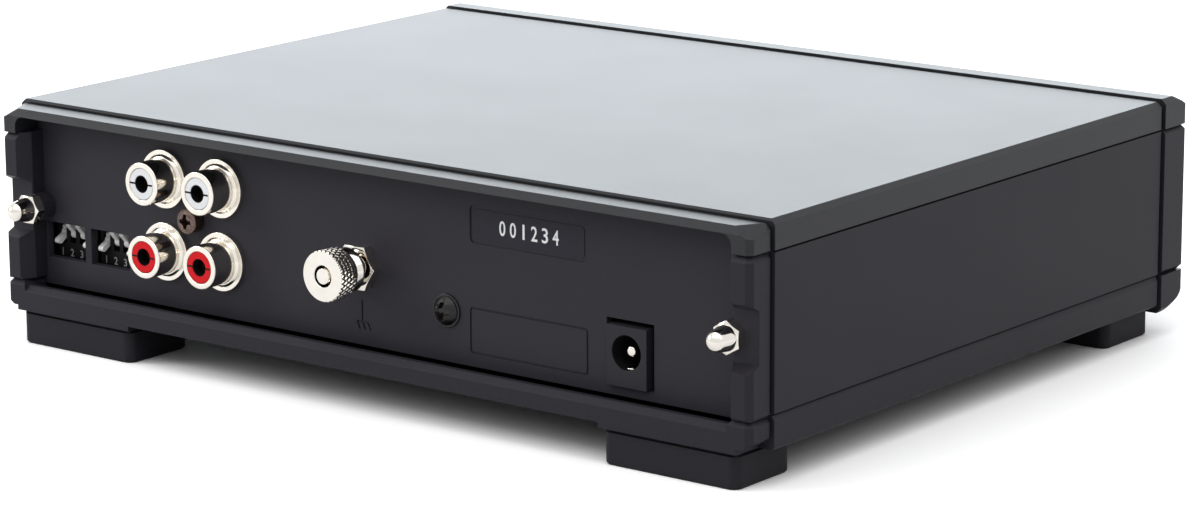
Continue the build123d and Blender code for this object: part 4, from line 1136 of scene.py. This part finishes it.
@dataclass
class PanelScrews(SubAssembly):
    """Two screws with a star-shaped recess: a tall pan head and a domed head with a rim."""

    floor_share: float = 0.72
    dome_rows: int = 9
    ring_gap: float = 0.06
    rim_step: float = 0.02
    least_sine: float = 1e-3
    socket_head: ScrewHead = ScrewHead(
        shank=1.25, rise=0.75, swell=1.08, rim=0.94, ring_height=math.inf, fall=0.16,
        recess_length=0.60, recess_width=0.17, recess_star=0.50, recess_depth=1.6,
    )
    panel_head: ScrewHead = ScrewHead(
        shank=1.5, rise=0.50, swell=1.0, rim=0.86, ring_height=0.35, fall=0.72,
        recess_length=0.56, recess_width=0.17, recess_star=0.46, recess_depth=1.15,
    )

    def screw(self, node: str, face: float, head: ScrewHead) -> Piece:
        """Builds one screw.

        The recess's outline is a cross, min(L / max(|cos a|, |sin a|), W / min(|cos a|, |sin a|)),
        joined with a diamond, S / (|cos a| + |sin a|). The head's height falls with R^2 from its
        middle to its rim, and a low ring may run round the rim.

        Args:
            node: The solid that it stands for.
            face: Depth of the panel's face.
            head: The shape of its head.

        Returns:
            The screw.
        """
        box = NodeBox.of(node)
        outer, top = box.radius * head.swell, box.high[1] + head.rise
        rim, tall = outer * head.rim, top - face
        cosine, sine = np.abs(np.cos(ring_angles())), np.abs(np.sin(ring_angles()))
        larger = np.maximum(cosine, sine)
        smaller = np.maximum(np.minimum(cosine, sine), self.least_sine)
        cross = np.minimum(head.recess_length / larger, head.recess_width / smaller)
        outline = outer * np.maximum(cross, head.recess_star / (cosine + sine))
        dome = rim + (outline - rim) * np.linspace(0, 1, self.dome_rows)[:, None]
        crown = top - head.fall * tall * (dome / rim) ** 2
        floor = np.stack([outline * self.floor_share, np.zeros(RING_STEPS)])
        sunk = np.full(floor.shape, top - head.recess_depth)
        edge = face + min(head.ring_height, (1 - head.fall) * tall - self.ring_gap)
        rows = [
            (0, box.low[1], 0),
            (head.shank, box.low[1], 0.1),
            (head.shank, face, 0.02),
            (outer, face, 0.04),
            (outer, edge, 0.12),
            (rim + self.rim_step, edge + self.rim_step, 0),
        ]
        body = round_rows(rounded_profile(rows))
        grids = stacked(body, np.stack([dome, crown]), np.stack([floor, sunk]))
        return turned(f"{node}_turned", box.axis, grids)

    def build(self) -> None:
        """Builds both screws."""
        face = NodeBox.of("rear_panel").high[1]
        plan = (
            ("socket_screw", BRONZE, "bronze_screw", self.socket_head),
            ("panel_screw", GLOSS_BLACK, "black_screw", self.panel_head),
        )
        for node, finish, slot, head in plan:
            self.paints.place(self.screw(node, face, head), finish, CASE, slot, (node,))


@dataclass
class PowerInlet(SubAssembly):
    """Power inlet's centre pin, the dark liner of painted shade in its hole and the bulge of its
    contact.
    """

    pin_radius: float = 1.05
    pin_length: float = 8.3
    root_radius: float = 1.5
    tip_rounding: float = 0.6
    hole_radius: float = 3.2
    liner: Pair = (0.06, 0.005)
    liner_depths: Pair = (7.6, 0.15)
    bulge: Point = (0.95, 0.75, 0.32)
    bulge_depth: float = 1.5
    bulge_lift: float = 0.16
    bulge_rows: int = 17

    def pin(self, box: NodeBox) -> Piece:
        """Builds the pin with its thick root and its rounded tip.

        Args:
            box: The box of the solid that it stands for.

        Returns:
            The pin.
        """
        back, tip = box.low[1], box.high[1]
        rows = [
            (0, back, 0),
            (self.root_radius, back, 0),
            (self.root_radius, tip - self.pin_length, 0.05),
            (self.pin_radius, tip - self.pin_length, 0),
            (self.pin_radius, tip, self.tip_rounding),
            (0, tip, 0),
        ]
        return lathe("jack_pin_plated", box.axis, rounded_profile(rows))

    def tongue(self, centre: Pair, face: float) -> Piece:
        """Builds the spring contact's bulge in the bottom of the hole.

        It is an ellipsoid round Y: R = sin t / sqrt((cos a / p)^2 + (sin a / r)^2) and
        D = middle - q cos t, where p, q and r are its half lengths.

        Args:
            centre: The hole axis's (x, z).
            face: Depth of the housing's face.

        Returns:
            The bulge.
        """
        half_x, half_y, half_z = self.bulge
        angle, along = ring_angles()[None, :], np.linspace(0, np.pi, self.bulge_rows)[:, None]
        radius = np.sin(along) / np.hypot(np.cos(angle) / half_x, np.sin(angle) / half_z)
        depth = face - self.bulge_depth - half_y * np.cos(along)
        place = (centre[0], centre[1] - self.hole_radius + self.bulge_lift)
        return turned("jack_contact_bulge", place, np.stack(np.broadcast_arrays(radius, depth)))

    def build(self) -> None:
        """Builds the pin, the liner of painted shade and the bulge."""
        box, face = NodeBox.of("jack_pin"), NodeBox.of("jack_housing").high[1]
        self.paints.place(self.pin(box), NICKEL, CASE, "nickel", ("jack_pin",))
        # The liner is painted shade: a near-black tube inside the hole of the dark housing.
        radii = tuple(self.hole_radius - inset for inset in self.liner)
        depths = tuple(face - depth for depth in self.liner_depths)
        liner = ring("jack_hole_shade_liner", box.axis, radii, depths)
        self.paints.place(liner, SHADE_PAINT, CASE, "black_plastic")
        self.paints.place(self.tongue(box.axis, face), NICKEL, CASE, "nickel")


@dataclass
class SwitchBank(SubAssembly):
    """White levers and the numbers under them."""

    lever_count: int = 4
    numbers: Lettering = Lettering(width=0.9, height=1.5)
    number_drop: float = 4.5
    number_shift: float = 0.3

    def build(self) -> None:
        """Dresses the levers and numbers each one."""
        shift = self.numbers.width / 2 + self.number_shift
        for switch in ("outer", "inner"):
            face = NodeBox.of(f"switch_body_{switch}").high[1]
            height = NodeBox.of(f"switch_axle_{switch}").middle[2] - self.number_drop
            made = []
            for index in range(1, self.lever_count + 1):
                name = f"switch_lever_{switch}_{index}"
                self.paints.dress(name, LEVER_WHITE)
                place = (NodeBox.of(name).middle[0] + shift, face, height)
                made.append(self.numbers.write(f"n_{switch}_{index}", str(index), place))
            numbers = joined(f"switch_numbers_{switch}", made)
            self.paints.place(numbers, INK_GREY, CASE, "white_plastic")


@dataclass
class NumberPlate(SubAssembly):
    """Thin label in the panel's recess with a plain number on it."""

    centre_x: float = -36.7
    centre_height: float = 37.55
    width: float = 25.2
    height: float = 5.7
    thickness: float = 0.1
    recess: float = 0.25
    corner: float = 0.8
    corner_steps: int = 7
    number: str = "001234"
    digits: Lettering = Lettering(width=1.4, height=2.75, pitch=2.42)
    digits_from: float = -30.1
    digits_low: float = 36.2

    def label(self, back: float) -> Piece:
        """Builds the label: a rectangle with quarter-circle corners, carried from back to front.

        The grid's rows are the back's middle and outline, then the front's outline and middle.

        Args:
            back: Depth of its back face.

        Returns:
            The label.
        """
        quarter = np.linspace(0, np.pi / 2, self.corner_steps)
        turns = np.concatenate([quarter + k * np.pi / 2 for k in range(4)])
        quarters = [1, -1, -1, 1], [1, 1, -1, -1]
        right, up = (np.repeat(signs, self.corner_steps) for signs in quarters)
        x = right * (self.width / 2 - self.corner) + self.corner * np.cos(turns)
        z = up * (self.height / 2 - self.corner) + self.corner * np.sin(turns)
        share = np.array([[0], [1], [1], [0]])
        depth = back + self.thickness * np.array([[0], [0], [1], [1]])
        across, upward = self.centre_x + share * x, self.centre_height + share * z
        grids = np.broadcast_arrays(across, depth, upward)
        points = np.stack(grids, axis=-1).reshape(-1, 3)
        return make_object("number_label", points, grid_faces(len(share), len(turns), closed=False))

    def build(self) -> None:
        """Builds the label and its number."""
        floor = NodeBox.of("rear_panel").high[1] - self.recess
        self.paints.place(self.label(floor), LABEL, CASE, "panel_paint")
        place = (self.digits_from, floor + self.thickness, self.digits_low)
        digits = self.digits.write("plain_number", self.number, place)
        self.paints.place(digits, INK_WHITE, CASE, "white_plastic")


# ------------------------------------------------------------------ studio


@dataclass(frozen=True)
class Softbox:
    """A rectangular studio lamp."""

    name: str
    place: Point
    aim: Point
    size: Pair
    radiance: float
    colour: Colour = (1.0, 1.0, 1.0)

    def build(self) -> None:
        """Hangs the lamp and points it at its aim."""
        lamp = bpy.data.lights.new(self.name, "AREA")
        lamp.shape = "RECTANGLE"
        lamp.size, lamp.size_y = self.size
        lamp.energy = self.radiance * math.pi * self.size[0] * self.size[1]
        lamp.color = self.colour
        thing = linked(self.name, lamp)
        thing.location = self.place
        thing.rotation_mode = "QUATERNION"
        thing.rotation_quaternion = (Vector(self.aim) - Vector(self.place)).to_track_quat("-Z", "Y")
        thing.visible_camera = False


@dataclass
class Studio:
    """Pale floor, soft light that comes mostly from above, and a white surround."""

    floor_size: float = 8.0
    surround: Pair = (0.08, 0.92)
    surround_top: float = 0.6
    floor_plain: float = 0.45
    floor_gloss: float = 0.85
    floor_seen: Pair = (0.60, 0.55)
    lamps: tuple[Softbox, ...] = (
        Softbox("overhead", (-0.1, 0.45, 1.15), (0.0, 0.0, 0.0), (1.4, 1.4), radiance=1.15),
        Softbox(
            "behind", (0.95, -1.15, 0.38), (0.0, 0.0, 0.02), (1.9, 0.62), radiance=3.5,
            colour=(0.86, 0.94, 1.0),
        ),
        Softbox("beside", (1.15, 0.85, 0.65), (0.0, 0.0, 0.02), (0.6, 0.55), radiance=7.0),
        Softbox("fill", (-1.05, 0.1, 1.0), (-0.2, 0.0, 0.0), (0.9, 0.9), radiance=0.7),
    )

    def floor(self) -> None:
        """Lays the floor: paper that is white to metal and glass, and to the camera in the light.

        The camera sees two plain layers added up, which is whiter than one layer can be.
        """
        half = self.floor_size / 2
        mesh = bpy.data.meshes.new("floor")
        corner = [(-half, -half, 0), (half, -half, 0), (half, half, 0), (-half, half, 0)]
        mesh.from_pydata(corner, [], [(0, 1, 2, 3)])
        material = bpy.data.materials.new("floor_paper")
        graph = NodeGraph(material)
        plain, gloss, first, second = (
            graph.node("BsdfDiffuse", {"Color": (white, white, white, 1)})
            for white in (self.floor_plain, self.floor_gloss, *self.floor_seen)
        )
        both = graph.node("AddShader", {0: first.outputs[0], 1: second.outputs[0]})
        mirrored = graph.mixed(graph.any_ray("Is Glossy Ray", "Is Transmission Ray"), plain, gloss)
        seen = graph.mixed(graph.any_ray("Is Camera Ray"), mirrored, both)
        graph.node("OutputMaterial", {"Surface": seen.outputs[0]})
        mesh.materials.append(material)
        plane = linked("floor", mesh)

    def world(self) -> None:
        """Surrounds the object with soft light that grows from the horizon upwards.

        The camera, metal and glass see it as white all round.
        """
        world = bpy.data.worlds.new("studio")
        bpy.context.scene.world = world
        graph = NodeGraph(world)
        place = graph.node("TexCoord").outputs["Generated"]
        height = graph.node("SeparateXYZ", {0: place}).outputs["Z"]
        climb = graph.spread(height, (0.0, self.surround_top), self.surround)
        soft, white = (
            graph.node("Background", {"Color": (1, 1, 1, 1), "Strength": strength})
            for strength in (climb, 1.0)
        )
        seen = graph.any_ray("Is Camera Ray", "Is Glossy Ray", "Is Transmission Ray")
        graph.node("OutputWorld", {"Surface": graph.mixed(seen, soft, white).outputs[0]})

    def build(self) -> None:
        """Sets up the studio."""
        self.floor()
        self.world()
        for lamp in self.lamps:
            lamp.build()


@dataclass
class ViewCamera:
    """Camera that looks at the back from beside the left-hand side, a little above the cover."""

    azimuth: float = 218.028
    elevation: float = 13.259
    roll: float = -0.314
    distance: float = 762.680
    target: Point = (-32.716, 37.400, 27.376)
    lens: float = 125.42
    sensor: float = 36.0
    clip_metres: Pair = (0.05, 50.0)

    def build(self) -> None:
        """Creates the camera and makes it the scene's own."""
        turn, lift, roll = map(math.radians, (self.azimuth, self.elevation, self.roll))
        flat = math.cos(lift)
        back = Vector((math.sin(turn) * flat, -math.cos(turn) * flat, math.sin(lift)))
        level = (-back).cross(Vector((0, 0, 1))).normalized()
        upright = level.cross(-back)
        right = level * math.cos(roll) + upright * math.sin(roll)
        up = upright * math.cos(roll) - level * math.sin(roll)
        data = bpy.data.cameras.new("view")
        data.sensor_width, data.lens = self.sensor, self.lens
        data.clip_start, data.clip_end = self.clip_metres
        pose = Matrix((right, up, back)).transposed().to_4x4()
        pose.translation = (Vector(self.target) + back * self.distance) * MM
        camera = linked("view", data)
        camera.matrix_world = pose
        bpy.context.scene.camera = camera


def main() -> None:
    """Builds the whole scene in order."""
    logging.basicConfig(level=logging.INFO, format="%(name)s: %(message)s")
    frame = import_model()
    bpy.context.scene.view_settings.view_transform = "Standard"
    ViewCamera().build()
    Studio().build()
    paints = Paintbox(frame["nodes"])
    outside = DressedSolids, DomeNuts, GroundPost, PhonoSockets, PanelScrews
    for kind in outside + (PowerInlet, SwitchBank, NumberPlate):
        kind(paints).build()


if __name__ == "__main__":
    main()
